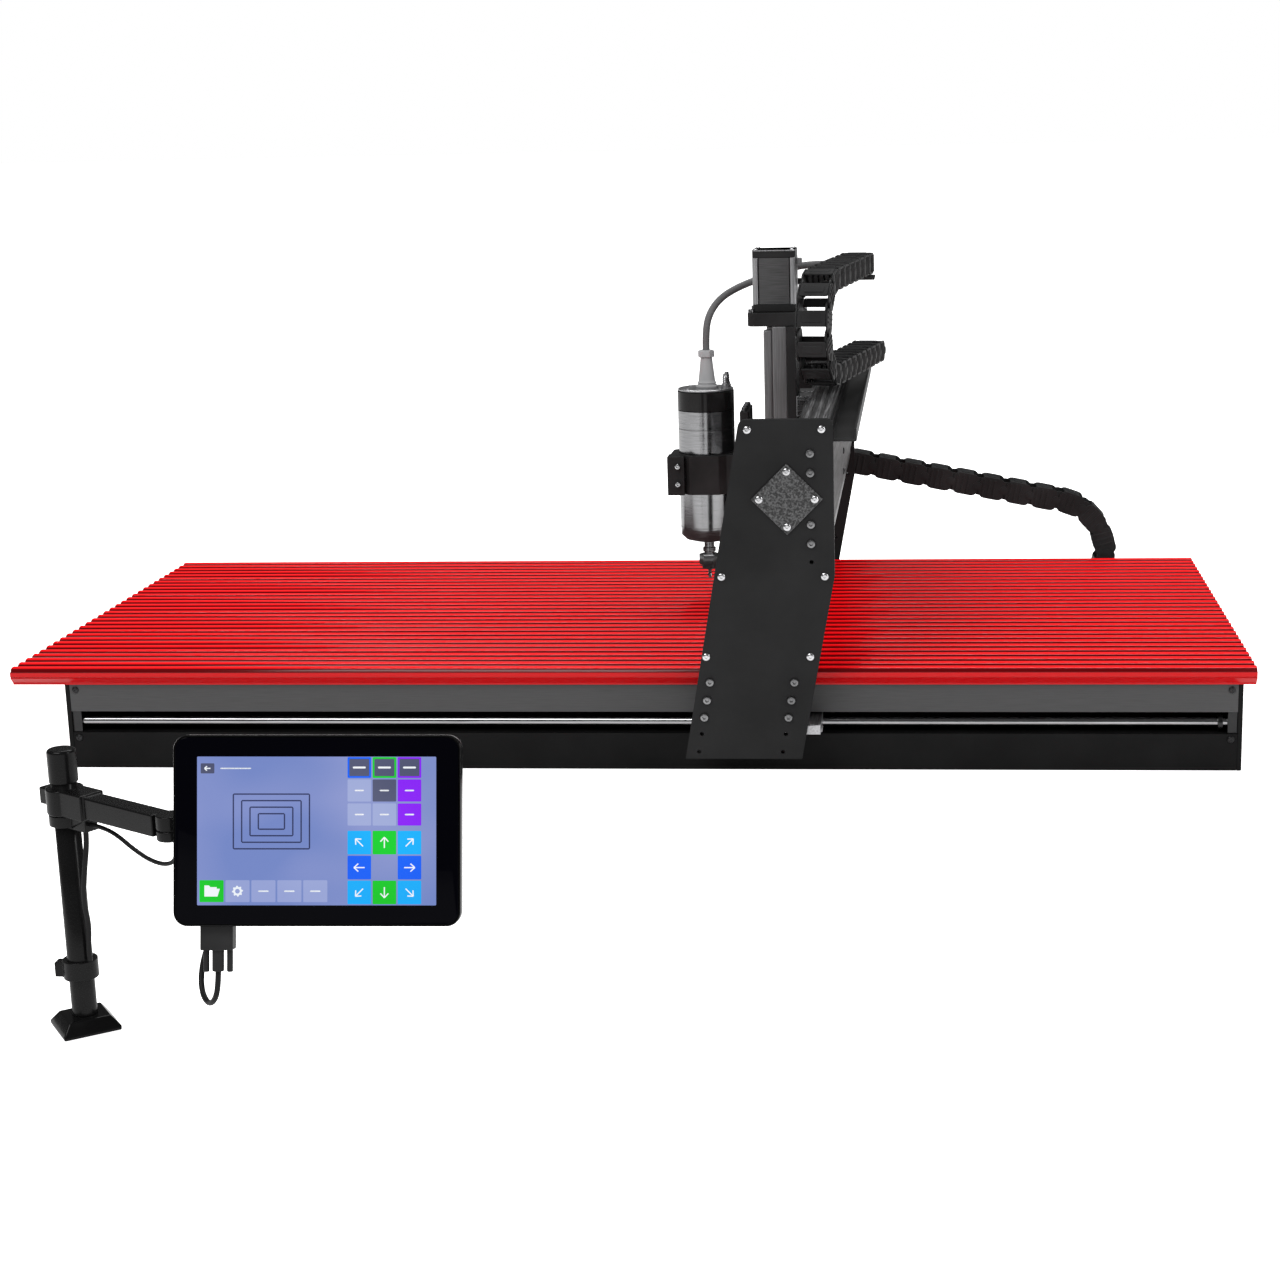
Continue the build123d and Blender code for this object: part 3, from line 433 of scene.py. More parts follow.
def plank_outline(near, far, top, skirt, bottom, ribs, first, last):
    """One plank's section in Y and Z. Each rib is an arch, height times (1 - |s|^3) to the power 0.6 for s
    from -1 to 1 across it. Outer planks have a grooved upright face, over a slope that runs back under."""
    rib = (far - near) / ribs
    height, inset, nose, bead = 5.2 * MM, 8 * MM, 2 * MM, 1.2 * MM
    s = np.linspace(-1, 1, 15)
    arch = height * (1 - np.abs(s) ** 3) ** 0.6
    crest = [np.stack([near + (i + 0.5 + 0.39 * s) * rib, top - height + arch], axis=1) for i in range(ribs)]
    right, left = [(far, top - height), (far, bottom)], [(near, bottom), (near, top - height)]
    face = [(0, top - height), (0, skirt + 2 * nose), (bead, skirt + 1.7 * nose), (bead, skirt + 1.3 * nose),
            (0, skirt + nose), (inset, skirt - inset + nose), (inset, bottom)]
    if last:
        right = [(far - back, up) for back, up in face]
    if first:
        left = [(near + back, up) for back, up in face[::-1]]
    return np.concatenate([*crest, right, left])[::-1]


def add_bed():
    """Six planks side by side, each its section carried along X and drawn in by 0.6 per cent at its ends."""
    low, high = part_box("bed_planks")
    count, ribs = 6, 5
    width, skirt = (high.y - low.y) / count, high.z - 15 * MM
    planks = []
    for i in range(count):
        near = low.y + i * width + 0.15 * MM
        far = near + width - 0.3 * MM
        outline = plank_outline(near, far, high.z, skirt, low.z, ribs, i == 0, i == count - 1)
        stations = (low.x, low.x + 0.6 * MM, high.x - 0.6 * MM, high.x)
        centre = outline.mean(axis=0)
        rings = []
        for x, size in zip(stations, (0.994, 1, 1, 0.994)):
            shrunk = centre + (outline - centre) * size
            rings.append(np.column_stack([np.full(len(outline), x), shrunk]))
        planks.append(skin(np.array(rings)[:, ::-1]))
    add_piece("bed_ribs", planks, RED, "root", ["bed_planks"])


def add_base():
    """The base's rails, sheets and supports with small rounded edges, and the polished guide shafts."""
    machined("upper_rails", RAIL_GREY, 0.8 * MM)
    machined("lower_rails", RAIL_BLACK, 1.0 * MM)
    machined("base_sheets", RAIL_BLACK, 0.6 * MM)
    machined("bed_braces", RAIL_BLACK, 0.8 * MM)
    machined("chain_tray", PLATE_BLACK, 0.4 * MM)
    machined("shaft_supports", OXIDE, 0.5 * MM)
    machined("long_screw_bearings", CARRIAGE_BLACK, 0.8 * MM)
    dress("guide_shafts", CHROME)


def threaded(start, length, radius, lead, starts_per_lead=2):
    """A screw's surface: its radius is the full one less a depth times half of one plus the cosine of the
    phase, and the phase grows along the screw and falls round it, so that the ridge winds round it."""
    around, steps = 20, 8
    rows = max(int(length / lead * starts_per_lead * steps), 4)
    z = np.linspace(0, length, rows)[:, None]
    a = np.linspace(0, 2 * pi, around, endpoint=False)[None, :]
    phase = starts_per_lead * z / lead - a / (2 * pi) * starts_per_lead
    depth = 0.11 * radius * (0.5 + 0.5 * np.cos(2 * pi * phase))
    r = radius - depth
    rings = np.stack([r * np.cos(a), r * np.sin(a), np.broadcast_to(z, r.shape)], axis=-1)
    rings[[0, -1], :, :2] = 0.93 * radius * np.stack([np.cos(a[0]), np.sin(a[0])], axis=1)
    return moved(skin(rings), start)


def add_screws():
    """The three drive screws, each turning with its own body."""
    for node, axis in (("long_screw", "X"), ("cross_screw", "Y"), ("z_screw", "Z")):
        low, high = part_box(node)
        along = "XYZ".index(axis)
        boxes = sorted(solids(node), key=lambda box: (box[1] - box[0])[along])
        low, high = (Vector(corner) for corner in boxes[-1])
        radius = (high - low)[(along + 1) % 3] / 2
        start = (low + high) / 2
        start[along] = low[along]
        direction = [0, 0, 0]
        direction[along] = 1
        parts = [threaded(facing(start, direction), (high - low)[along], radius, 10 * MM)]
        for coupler_low, coupler_high in boxes[:-1]:
            half = (coupler_high - coupler_low)[(along + 1) % 3] / 2
            length = (coupler_high - coupler_low)[along]
            profile = [(radius, 0), (half - 0.6 * MM, 0), (half, 0.6 * MM), (half, 0.45 * length),
                       (half - 0.8 * MM, 0.5 * length), (half, 0.55 * length), (half, length - 0.6 * MM),
                       (half - 0.6 * MM, length), (radius, length)]
            start[along] = coupler_low[along]
            parts.append(moved(turned(profile), facing(start, direction)))
        add_piece(f"{node}_thread", parts, STEEL, frame["nodes"][node]["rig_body"], [node])


# ---------------------------------------------------------------- fasteners

def socket_head(radius, height, key):
    """A cap screw's head, standing on z = 0: rounded rim, then the walls and floor of its hexagon socket."""
    rim = 0.18 * radius
    rings = [raised(circle(radius, 24), 0), raised(circle(radius, 24), height - rim),
             raised(circle(radius - 0.3 * rim, 24), height - 0.3 * rim),
             raised(circle(radius - rim, 24), height),
             raised(hexagon(key * 1.08), height), raised(hexagon(key), height - 0.25 * rim),
             raised(hexagon(key), height * 0.35)]
    return skin(rings)


def dome_head(radius, height, key):
    """A button head: height follows the square root of one less the squared distance from its middle."""
    share = np.linspace(1, 0.5, 6)
    rings = [raised(circle(radius * s, 24), height * (0.15 + 0.85 * (1 - s**2) ** 0.5)) for s in share]
    rings.insert(0, raised(circle(radius, 24), 0))
    rings += [raised(hexagon(key), height * 0.88), raised(hexagon(key), height * 0.35)]
    return skin(rings)


def add_side_screws(node, head, radius, height, key, material):
    """A head over every screw of a node whose screws go into the side faces."""
    parts = []
    for low, high in solids(node):
        centre = (low + high) / 2
        out = 1.0 if centre[1] > 0 else -1.0
        face = (high[1] if out > 0 else low[1]) - out * height
        place = facing((centre[0], face, centre[2]), (0, out, 0))
        parts.append(moved(head(radius, height, key), place))
    add_piece(f"{node}_heads", parts, material, frame["nodes"][node]["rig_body"], [node])


def add_fasteners():
    """Screw heads on the side plates, base, clamp, rear panel, slide plate and motor mount."""
    add_side_screws("dome_screws", dome_head, 5.2 * MM, 2.9 * MM, 3.2 * MM, ZINC)
    add_side_screws("socket_screws", socket_head, 5.0 * MM, 4.0 * MM, 4.0 * MM, OILED)
    add_side_screws("frame_screws", dome_head, 4.5 * MM, 2.5 * MM, 3.0 * MM, OXIDE)
    bolts = []
    for low, high in solids("clamp_bolts"):
        centre = (low + high) / 2
        place = facing((centre[0], low[1] + 5 * MM, centre[2]), (0, -1, 0))
        bolts.append(moved(socket_head(3.8 * MM, 5 * MM, 3 * MM), place))
    add_piece("clamp_bolt_heads", bolts, ZINC, "head", ["clamp_bolts"])
    low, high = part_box("rear_panel")
    spots = [(y, z) for y in np.linspace(low.y + 14 * MM, high.y - 14 * MM, 3)
             for z in np.linspace(low.z + 12 * MM, high.z - 12 * MM, 4)]
    head = dome_head(4.5 * MM, 2.4 * MM, 2.6 * MM)
    heads = [moved(head, facing((high.x, y, z), (1, 0, 0))) for y, z in spots]
    add_piece("panel_screws", heads, OXIDE, "gantry")
    low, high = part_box("z_slide_plate")
    head = socket_head(4.2 * MM, 5 * MM, 3.4 * MM)
    heads = [moved(head, facing(((low.x + high.x) / 2, y, high.z), (0, 0, 1)))
             for y in np.linspace(low.y + 12 * MM, high.y - 12 * MM, 4)]
    add_piece("slide_plate_bolts", heads, OILED, "head")
    low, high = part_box("z_motor_mount")
    inset = 9 * MM
    head = socket_head(4 * MM, 4.5 * MM, 3.2 * MM)
    heads = [moved(head, facing((x, y, high.z), (0, 0, 1)))
             for x in (high.x - inset / 2, low.x + inset * 0.55) for y in (low.y + inset, high.y - inset)]
    add_piece("mount_bolts", heads, OILED, "carriage")


# ---------------------------------------------------------------- gantry, carriage and spindle head

def add_gantry():
    """The gantry's plates, beam, rails and bearings, with three ridges along the top of the beam."""
    dress("side_plates", PLATE_BLACK)
    machined("bearing_cover", CRACKLE, 0.7 * MM)
    machined("gantry_beam", BEAM, 1.6 * MM)
    machined("rear_panel", PANEL, 0.5 * MM)
    machined("rear_shelf", CARRIAGE_BLACK, 0.6 * MM)
    machined("cross_rails", STEEL, 1.0 * MM)
    machined("cross_screw_bearings", ALUMINIUM, 0.6 * MM)
    machined("bearing_blocks", ALUMINIUM, 1.0 * MM)
    machined("cross_member", CARRIAGE_BLACK, 1.0 * MM)
    machined("long_nut", BRONZE, 0.8 * MM)
    low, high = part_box("gantry_beam")
    ridge = slab(5 * MM, high.y - low.y - 2 * MM, 2.4 * MM, 1.2 * MM, 0.8 * MM)
    strips = [moved(ridge, at(x, 0, high.z + 0.6 * MM))
              for x in (low.x + 6 * MM, (low.x + high.x) / 2 + 1 * MM, high.x - 6 * MM)]
    add_piece("beam_top_ridges", strips, ALUMINIUM, "gantry")


def add_carriage():
    """The carriage, its column and the head's slide plate, with their bearings and nuts."""
    machined("carriage_plate", CARRIAGE_BLACK, 0.8 * MM)
    machined("carriage_bearings", STEEL, 0.8 * MM)
    machined("cross_nut", BRONZE, 0.8 * MM)
    machined("z_column", COLUMN, 2.2 * MM)
    machined("z_motor_mount", CARRIAGE_BLACK, 1.2 * MM)
    machined("chain_bracket", CARRIAGE_BLACK, 0.5 * MM)
    machined("z_slide_plate", CARRIAGE_BLACK, 1.0 * MM)
    machined("z_bearings", STEEL, 0.8 * MM)
    machined("z_nut", BRONZE, 0.8 * MM)


def stepper(side, length):
    """A square stepper motor along Z from 0: caps of rounded squares, a sheet core set back between four
    corner posts, and screw heads on the far cap. Each finish is its own piece."""
    cap = 0.13 * length
    post, gap = 0.13 * side, 0.018 * side
    face = side - 2 * (post + gap)
    cap_middles = (cap / 2, length - cap / 2)
    caps = [moved(slab(side, side, cap, 0.07 * side, 0.8 * MM), at(0, 0, z)) for z in cap_middles]
    core = [moved(slab(side - 2 * gap, face, length - cap, 1 * MM), at(0, 0, length / 2)),
            moved(slab(face, side - 2 * gap, length - cap, 1 * MM), at(0, 0, length / 2))]
    corner = (side - post) / 2
    bright = [moved(slab(post, post, length - 2 * cap + 1 * MM, 0.3 * post), at(x, y, length / 2))
              for x in (-corner, corner) for y in (-corner, corner)]
    rim = side + 0.6 * MM
    bright.append(moved(slab(rim, rim, 2 * MM, 0.08 * side, 0.5 * MM), at(0, 0, length - 1 * MM)))
    reach = 0.5 * side - 5 * MM
    screws = [moved(dome_head(3 * MM, 2 * MM, 2 * MM), at(x, y, length - 0.2 * MM))
              for x in (-reach, reach) for y in (-reach, reach)]
    return caps, core, bright, screws


def add_motor(node, place, side, length, body, plug_turn):
    """A motor's pieces put in its place, with its connector stub on one side near the far cap."""
    caps, core, bright, screws = stepper(side, length)
    stub = [moved(slab(9 * MM, 14 * MM, 8 * MM, 1.5 * MM),
                  Matrix.Rotation(plug_turn, 4, "Z") @ at(side / 2 + 3 * MM, 0, length - 0.2 * length))]
    groups = (("caps", caps, ENAMEL), ("core", core, CORE), ("posts", bright + stub, POST),
              ("screws", screws, ZINC))
    for suffix, parts, material in groups:
        replaced = [node] if suffix == "caps" else []
        placed = [moved(part, place) for part in parts]
        add_piece(f"{node}_{suffix}", placed, material, body, replaced)


def add_motors():
    """The three stepper motors: along Z on the carriage, along X on the base, along Y on the gantry."""
    low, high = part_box("z_motor")
    centre = (low + high) / 2
    heads = 1.8 * MM
    length = high.z - low.z - heads
    add_motor("z_motor", at(centre.x, centre.y, low.z), high.x - low.x, length, "carriage", 0)
    low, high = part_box("long_motor")
    centre = (low + high) / 2
    place = facing((high.x, centre.y, centre.z), (-1, 0, 0))
    add_motor("long_motor", place, high.y - low.y, high.x - low.x - heads, "root", pi / 2)
    low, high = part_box("cross_motor")
    centre = (low + high) / 2
    flange = 6 * MM
    side = high.x - low.x - 4 * MM
    place = facing((centre.x, low.y + flange, centre.z), (0, 1, 0))
    add_motor("cross_motor", place, side, high.y - low.y - flange - heads, "gantry", 0)
    plate = moved(slab(side + 4 * MM, side + 4 * MM, flange, 3 * MM, 0.8 * MM),
                  facing((centre.x, low.y + flange / 2, centre.z), (0, 1, 0)))
    add_piece("cross_motor_flange", [plate], CARRIAGE_BLACK, "gantry")


def add_spindle():
    """The spindle's turned pieces: each a profile of radius and height round the spindle's axis."""
    low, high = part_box("spindle_body")
    axis = middle("spindle_body")
    r, bottom, top = (high.x - low.x) / 2, low.z, high.z
    nose = [(7.6, 0.6), (14, 0.3), (22, 0.3), (23, 1)]
    full = r / MM
    flare = [(23.5, -1), (28, -0.5), (33, 0.4), (34, 1.6), (full - 1, 7), (full, 9),
             (full, 21), (full - 0.5, 21.4), (full - 0.5, 22), (full, 22.4)]
    groove = [(0, -26), (-0.4, -25.6), (-0.4, -25), (0, -24.6), (0, 0)]
    profile = [(radius * MM, bottom + height * MM) for radius, height in nose]
    profile += [(radius * MM, bottom + 3 * MM + height * MM * 0.9) for radius, height in flare]
    profile += [(r + inward * MM, top + height * MM) for inward, height in groove]
    place = at(axis.x, axis.y, 0)
    add_piece("spindle_shell", [moved(turned(profile, 96), place)], STEEL, "head", ["spindle_body"])
    low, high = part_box("spindle_cap")
    rim = 1.2 * MM
    profile = [(r - rim, low.z), (r, low.z + rim), (r, high.z - rim), (r - rim, high.z)]
    cap = moved(turned(profile, 96), place)
    add_piece("spindle_cap_shell", [cap], CAP, "head", ["spindle_cap"])
    machined("spindle_clamp", CARRIAGE_BLACK, 0.9 * MM)
    add_cap_fittings(axis, r)
    add_collet(axis)


def add_cap_fittings(axis, r):
    """The bright top plate and its screws, two hose stubs, and the cable's gland: a round flange, a tall
    cone and a hexagon nut."""
    low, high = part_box("cap_fittings")
    plate_top = low.z + 3 * MM
    plate = [(r - 1.6 * MM, low.z), (r - 0.8 * MM, low.z + 0.5 * MM), (r - 0.8 * MM, plate_top - 0.9 * MM),
             (r - 2 * MM, plate_top)]
    parts = [moved(turned(plate, 72), at(axis.x, axis.y, 0))]
    stub = [(6, 0), (6, 2.5), (5, 3.5), (5, 6), (3.6, 7), (4.3, 9), (3.4, 10.5), (4.3, 12), (3.4, 13.5),
            (4.2, 15), (3.2, 17), (3, 20)]
    for dy in (-9 * MM, 15 * MM):
        parts.append(moved(turned([(radius * MM, height * MM) for radius, height in stub], 20),
                           at(axis.x + 29 * MM, axis.y + dy, plate_top)))
    for angle in np.arange(4) * pi / 2 + pi / 4:
        spot = (axis.x + 33 * MM * cos(angle), axis.y + 33 * MM * sin(angle), plate_top - 0.2 * MM)
        parts.append(moved(dome_head(2.6 * MM, 1.6 * MM, 1.8 * MM), at(*spot)))
    add_piece("cap_top_plate", parts, ALUMINIUM, "head", ["cap_fittings"])
    gland = axis.x + 2 * MM
    flange = [(15, 0), (16, 1.5), (16, 3), (13, 4.5), (12.6, 6), (13.6, 7), (12.4, 8.5), (12, 9), (11.6, 12),
              (8.2, 42)]
    scaled = [(radius * MM, height * MM) for radius, height in flange]
    cone = moved(turned(scaled, 40), at(gland, axis.y, plate_top))
    top = high.z
    nut = [raised(hexagon(17 * MM), top - 10.5 * MM), raised(hexagon(20 * MM), top - 9.5 * MM),
           raised(hexagon(20 * MM), top - 1.4 * MM), raised(circle(9.4 * MM, 24), top - 0.2 * MM),
           raised(circle(5.4 * MM, 24), top)]
    add_piece("cable_gland", [cone, moved(skin(nut), at(gland, axis.y, 0))], GLAND, "head")


def add_collet(axis):
    """The shaft, the hexagon collet nut with its round nose, and a two-flute bit."""
    low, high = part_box("collet_nut")
    place = at(axis.x, axis.y, 0)
    flats, nose = 26 * MM, low.z + 6 * MM
    nut = [raised(circle(8 * MM, 24), low.z), raised(circle(10.6 * MM, 24), low.z + 1 * MM),
           raised(circle(11.2 * MM, 24), nose), raised(hexagon(flats * 0.93), nose + 0.2 * MM),
           raised(hexagon(flats), nose + 1.6 * MM), raised(hexagon(flats), high.z - 1.4 * MM),
           raised(hexagon(flats * 0.93), high.z)]
    add_piece("collet_nut_shell", [moved(skin(nut), place)], OILED, "spindle", ["collet_nut"])
    shaft_low, shaft_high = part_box("spindle_arbor")
    radius = 7.4 * MM
    shaft = [(radius, shaft_low.z + 1 * MM), (radius, high.z + 3 * MM), (radius + 2 * MM, high.z + 4 * MM),
             (radius + 2 * MM, high.z + 9 * MM), (radius, high.z + 10 * MM), (radius, shaft_high.z)]
    add_piece("spindle_shaft", [moved(turned(shaft), place)], STEEL, "spindle", ["spindle_arbor"])
    tip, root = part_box("router_bit")
    z = np.linspace(tip.z, root.z, 36)[:, None]
    a = np.linspace(0, 2 * pi, 24, endpoint=False)[None, :]
    fluted = np.clip((low.z - 1.5 * MM - z) / (1.5 * MM), 0, 1)
    r = 3 * MM * (1 - 0.38 * fluted * np.cos(a * 1 - (z - tip.z) / (16 * MM) * 2 * pi) ** 2)
    r = np.minimum(r, 1.2 * MM + (z - tip.z) * 1.6)
    rings = np.stack([r * np.cos(a), r * np.sin(a), np.broadcast_to(z, r.shape)], axis=-1)
    add_piece("router_bit_flutes", [moved(skin(rings), place)], STEEL, "spindle", ["router_bit"])


# ---------------------------------------------------------------- drag chains

def chain_places(upper, slope, radius, lower, pitch):
    """Each link's (along, up, turn): a straight upper run falling by slope, one arc round the origin and a
    level lower run, with links a pitch apart."""
    turn = pi - slope
    arc = radius * turn
    places = []
    for i in range(int((upper + arc + lower) / pitch)):
        s = (i + 0.5) * pitch
        if s < upper:
            back = upper - s
            along, up = radius * sin(slope) - back * cos(slope), radius * cos(slope) + back * sin(slope)
            places.append((along, up, slope))
        elif s < upper + arc:
            angle = slope + (s - upper) / radius
            places.append((radius * sin(angle), radius * cos(angle), angle))
        else:
            places.append((-(s - upper - arc), -radius, pi))
    return places


def link_parts(pitch, width, height):
    """One link: two cheeks a side that lap over the neighbours' cheeks, a pin boss and three ribs a side, and
    a crossbar over and under, with room to see between."""
    parts = []
    cheek = 2.3 * MM
    for side in (-1, 1):
        upright = Matrix.Rotation(pi / 2, 4, "X")
        outer = side * (width / 2 - cheek / 2)
        inner = side * (width / 2 - 1.55 * cheek)
        long_cheek = slab(pitch * 0.98, height, cheek, height * 0.3, 0.5 * MM)
        lap_cheek = slab(pitch * 0.6, height * 0.82, cheek, height * 0.3)
        parts.append(moved(long_cheek, at(pitch * 0.06, outer, 0) @ upright))
        parts.append(moved(lap_cheek, at(-pitch * 0.38, inner, 0) @ upright))
        boss = turned([(0.2 * height, 0), (0.2 * height, 0.6 * MM), (0.16 * height, 0.9 * MM)], 14)
        parts.append(moved(boss, facing((pitch / 2, side * width / 2, 0), (0, side, 0))))
        for dx in (-0.26, -0.06, 0.14):
            rib = slab(0.07 * pitch, 1.4 * MM, height * 0.8, 0.5 * MM)
            parts.append(moved(rib, at(dx * pitch, side * (width / 2 + 0.3 * MM), 0)))
    bar = width - 2.4 * cheek
    for up, length in ((1, 0.62), (-1, 0.42)):
        crossbar = slab(pitch * length, bar, 2.6 * MM, 2 * MM, 0.6 * MM)
        rib = slab(pitch * length * 0.5, bar * 0.7, 1.2 * MM, 2 * MM)
        parts.append(moved(crossbar, at(0, 0, up * (height / 2 - 1.6 * MM))))
        parts.append(moved(rib, at(0, 0, up * (height / 2 - 0.1 * MM))))
    return parts


def add_chain(node, base, places, pitch, width, height, body):
    """One link, copied to each of its places from the base."""
    link = link_parts(pitch, width, height)
    parts = []
    for along, up, turn in places:
        place = base @ at(along, 0, up) @ Matrix.Rotation(turn, 4, "Y")
        parts += [moved(part, place) for part in link]
    add_piece(f"{node}_links", parts, NYLON, body, [node])


def add_chains():
    """The gantry's long chain with its anchor block, and the carriage's cross chain."""
    pitch, width, height, radius = 42 * MM, 48 * MM, 34 * MM, 87.3 * MM
    slope = radians(11.2)
    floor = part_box("chain_tray")[0].z + 8 * MM + 2 * MM
    bend = Vector((583 * MM, 442 * MM, floor + 2 * MM + height / 2 + radius))
    places = chain_places(344 * MM, slope, radius, 460 * MM, pitch)
    add_chain("long_chain", at(*bend), places, pitch, width, height, "gantry")
    first = places[0]
    end = bend + Vector((first[0] - pitch / 2 * cos(slope), 0, first[1]))
    place = at(end.x - 9 * MM, 437 * MM, end.z + 3 * MM)
    anchor = moved(slab(16 * MM, 50 * MM, 32 * MM, 3 * MM, 1 * MM), place)
    add_piece("long_chain_anchor", [anchor], CARRIAGE_BLACK, "gantry")
    pitch, width, height, radius = 34 * MM, 44 * MM, 30 * MM, 63 * MM
    base = at(252 * MM, -84 * MM, 538.5 * MM) @ Matrix.Rotation(radians(-100), 4, "Z")
    places = chain_places(240 * MM, radians(1.5), radius, 330 * MM, pitch)
    add_chain("cross_chain", base, places, pitch, width, height, "carriage")


# ---------------------------------------------------------------- cables

def spline(name, points):
    """One open NURBS spline of order 3, with the route's points in millimetres as its control points."""
    curve = bpy.data.curves.new(name, "CURVE")
    curve.dimensions = "3D"
    line = curve.splines.new("NURBS")
    line.points.add(len(points) - 1)
    line.points.foreach_set("co", np.column_stack([np.array(points) * MM, np.ones(len(points))]).ravel())
    line.order_u = 3
    line.use_endpoint_u = True
    line.resolution_u = 10
    return curve


def followed(points):
    """The points of the route's smooth line, as the spline gives them."""
    curve = spline("route", points)
    holder = bpy.data.objects.new("route", curve)
    bpy.context.scene.collection.objects.link(holder)
    bpy.context.view_layer.update()
    mesh = bpy.data.meshes.new_from_object(holder)
    line = np.array([vert.co for vert in mesh.vertices])
    bpy.data.objects.remove(holder)
    bpy.data.curves.remove(curve)
    bpy.data.meshes.remove(mesh)
    return line


def hose(line, radius, around=16):
    """A tube along a line: each ring square to the tangent, its first axis the last one's less its share
    along the tangent, so that the tube doesn't twist."""
    tangents = np.gradient(line, axis=0)
    tangents /= np.linalg.norm(tangents, axis=1)[:, None]
    across = np.cross(tangents[0], (0.3, 0.9, 0.2))
    rings = []
    for centre, tangent in zip(line, tangents):
        across = across - tangent * across.dot(tangent)
        across /= np.linalg.norm(across)
        ring = circle(radius, around)
        rings.append(centre + ring[:, :1] * across + ring[:, 1:] * np.cross(tangent, across))
    return skin(rings)


def add_cable(node, points, diameter, material):
    """A cable's sheath: a tube along the route's smooth line, in place of the CAD node and riding on no body.
    """
    line = followed(points)
    piece = add_piece(f"{node}_sheath", [hose(line, diameter * MM / 2)], material, None, [node])
    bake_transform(piece)


def add_cables():
    """The four cables, with their routes in millimetres."""
    add_cable("spindle_cable", [
        (79, 60, 495), (79, 60, 521), (84, 64, 545), (99, 76, 566), (124, 94, 580),
        (156, 110, 591), (187, 120, 601), (218, 125, 608), (249.8, 125, 608),
    ], 10, SHEATH)
    add_cable("display_cable", [
        (-211.1, -1354.1, 116.6), (-211.2, -1357.1, 103.7), (-216, -1354.5, 90), (-225, -1345, 83),
        (-234, -1333, 88), (-238, -1321, 101), (-236, -1309, 119), (-227, -1299, 140), (-211, -1291, 163),
        (-190, -1281, 186), (-172, -1274, 202), (-172, -1274, 218.7),
    ], 5, BLACK_SHEATH)
    add_cable("arm_cable", [
        (-264, -1283, 208.7), (-264, -1283, 194), (-274.5, -1276, 184), (-294, -1263.7, 183),
        (-315, -1250.5, 190), (-332, -1240.2, 199), (-347.9, -1230.2, 203), (-363.2, -1220.7, 203),
    ], 4, BLACK_SHEATH)
    add_cable("pole_cable", [
        (-371, -1216, 196.3), (-371, -1216, 184), (-374, -1219.5, 160), (-378.5, -1217.5, 130),
        (-377.5, -1212, 104), (-380.3, -1210.5, 84), (-380.3, -1210.5, 68.7),
    ], 5, BLACK_SHEATH)


# ---------------------------------------------------------------- pendant

def add_stand():
    """The pendant's foot, pole, collar, arms and tilt head, and the plug under the display."""
    machined("pendant_foot", GLOSS, 1.4 * MM)
    machined("pendant_pole", TUBE_BLACK, 0.8 * MM)
    machined("arm_collar", TUBE_BLACK, 0.8 * MM)
    machined("front_arm", TUBE_BLACK, 1.4 * MM)
    machined("rear_arm", TUBE_BLACK, 1.0 * MM)
    machined("tilt_head", TUBE_BLACK, 0.8 * MM)
    machined("display_plug", NYLON, 0.9 * MM)


def display_place():
    """The display's own frame: x along it, y into it from the glass, z up it."""
    pan, tilt, roll = radians(4.7), radians(-13), radians(1.2)
    return (at(-124 * MM, -1334 * MM, 235 * MM) @ Matrix.Rotation(pan, 4, "Z") @ Matrix.Rotation(tilt, 4, "X")
            @ Matrix.Rotation(roll, 4, "Y"))


SCREEN_WIDTH, SCREEN_HEIGHT = 201 * MM, 125 * MM
TILE, TILE_PITCH = 19.8 * MM, 21.1 * MM


def tile(x, z, width, height, layer, thick=0.06 * MM):
    """A thin square-cornered plate on the glass, with its middle at x, z; higher layers stand further out."""
    out = -(0.05 + 0.1 * layer) * MM
    place = at(x, out, z) @ Matrix.Rotation(pi / 2, 4, "X")
    return moved(slab(width, height, thick, 0.8 * MM, 0.01 * MM), place)


def drawn(points, x, z, turn, layer):
    """A flat outline drawn on the glass, turned about its middle, as a plate 0.05 mm thick."""
    outline = np.array(points) * MM
    rings = [raised(outline, -0.025 * MM), raised(outline, 0.025 * MM)]
    turning = Matrix.Rotation(-turn, 4, "Y") @ Matrix.Rotation(pi / 2, 4, "X")
    place = at(x, -(0.05 + 0.1 * layer) * MM, z) @ turning
    return moved(skin(rings), place)


def stroke(length, across=1.0):
    """An upright bar's four corners, plus and minus half its width and length."""
    x, z = across / 2, length / 2
    return [(-x, -z), (x, -z), (x, z), (-x, z)]


def arrow(x, z, turn, size=9.0):
    """A shaft and two barbs, each a thin bar, pointing up before it is turned."""
    half, barb = size / 2 * MM, size * 0.55
    parts = [drawn(stroke(size), x, z, turn, 3)]
    for side in (-1, 1):
        lean = turn + side * radians(-42)
        reach = barb / 2 * MM
        tip_x, tip_z = x + half * sin(-turn), z + half * cos(turn)
        parts.append(drawn(stroke(barb), tip_x - reach * sin(-lean), tip_z - reach * cos(lean), lean, 3))
    return parts


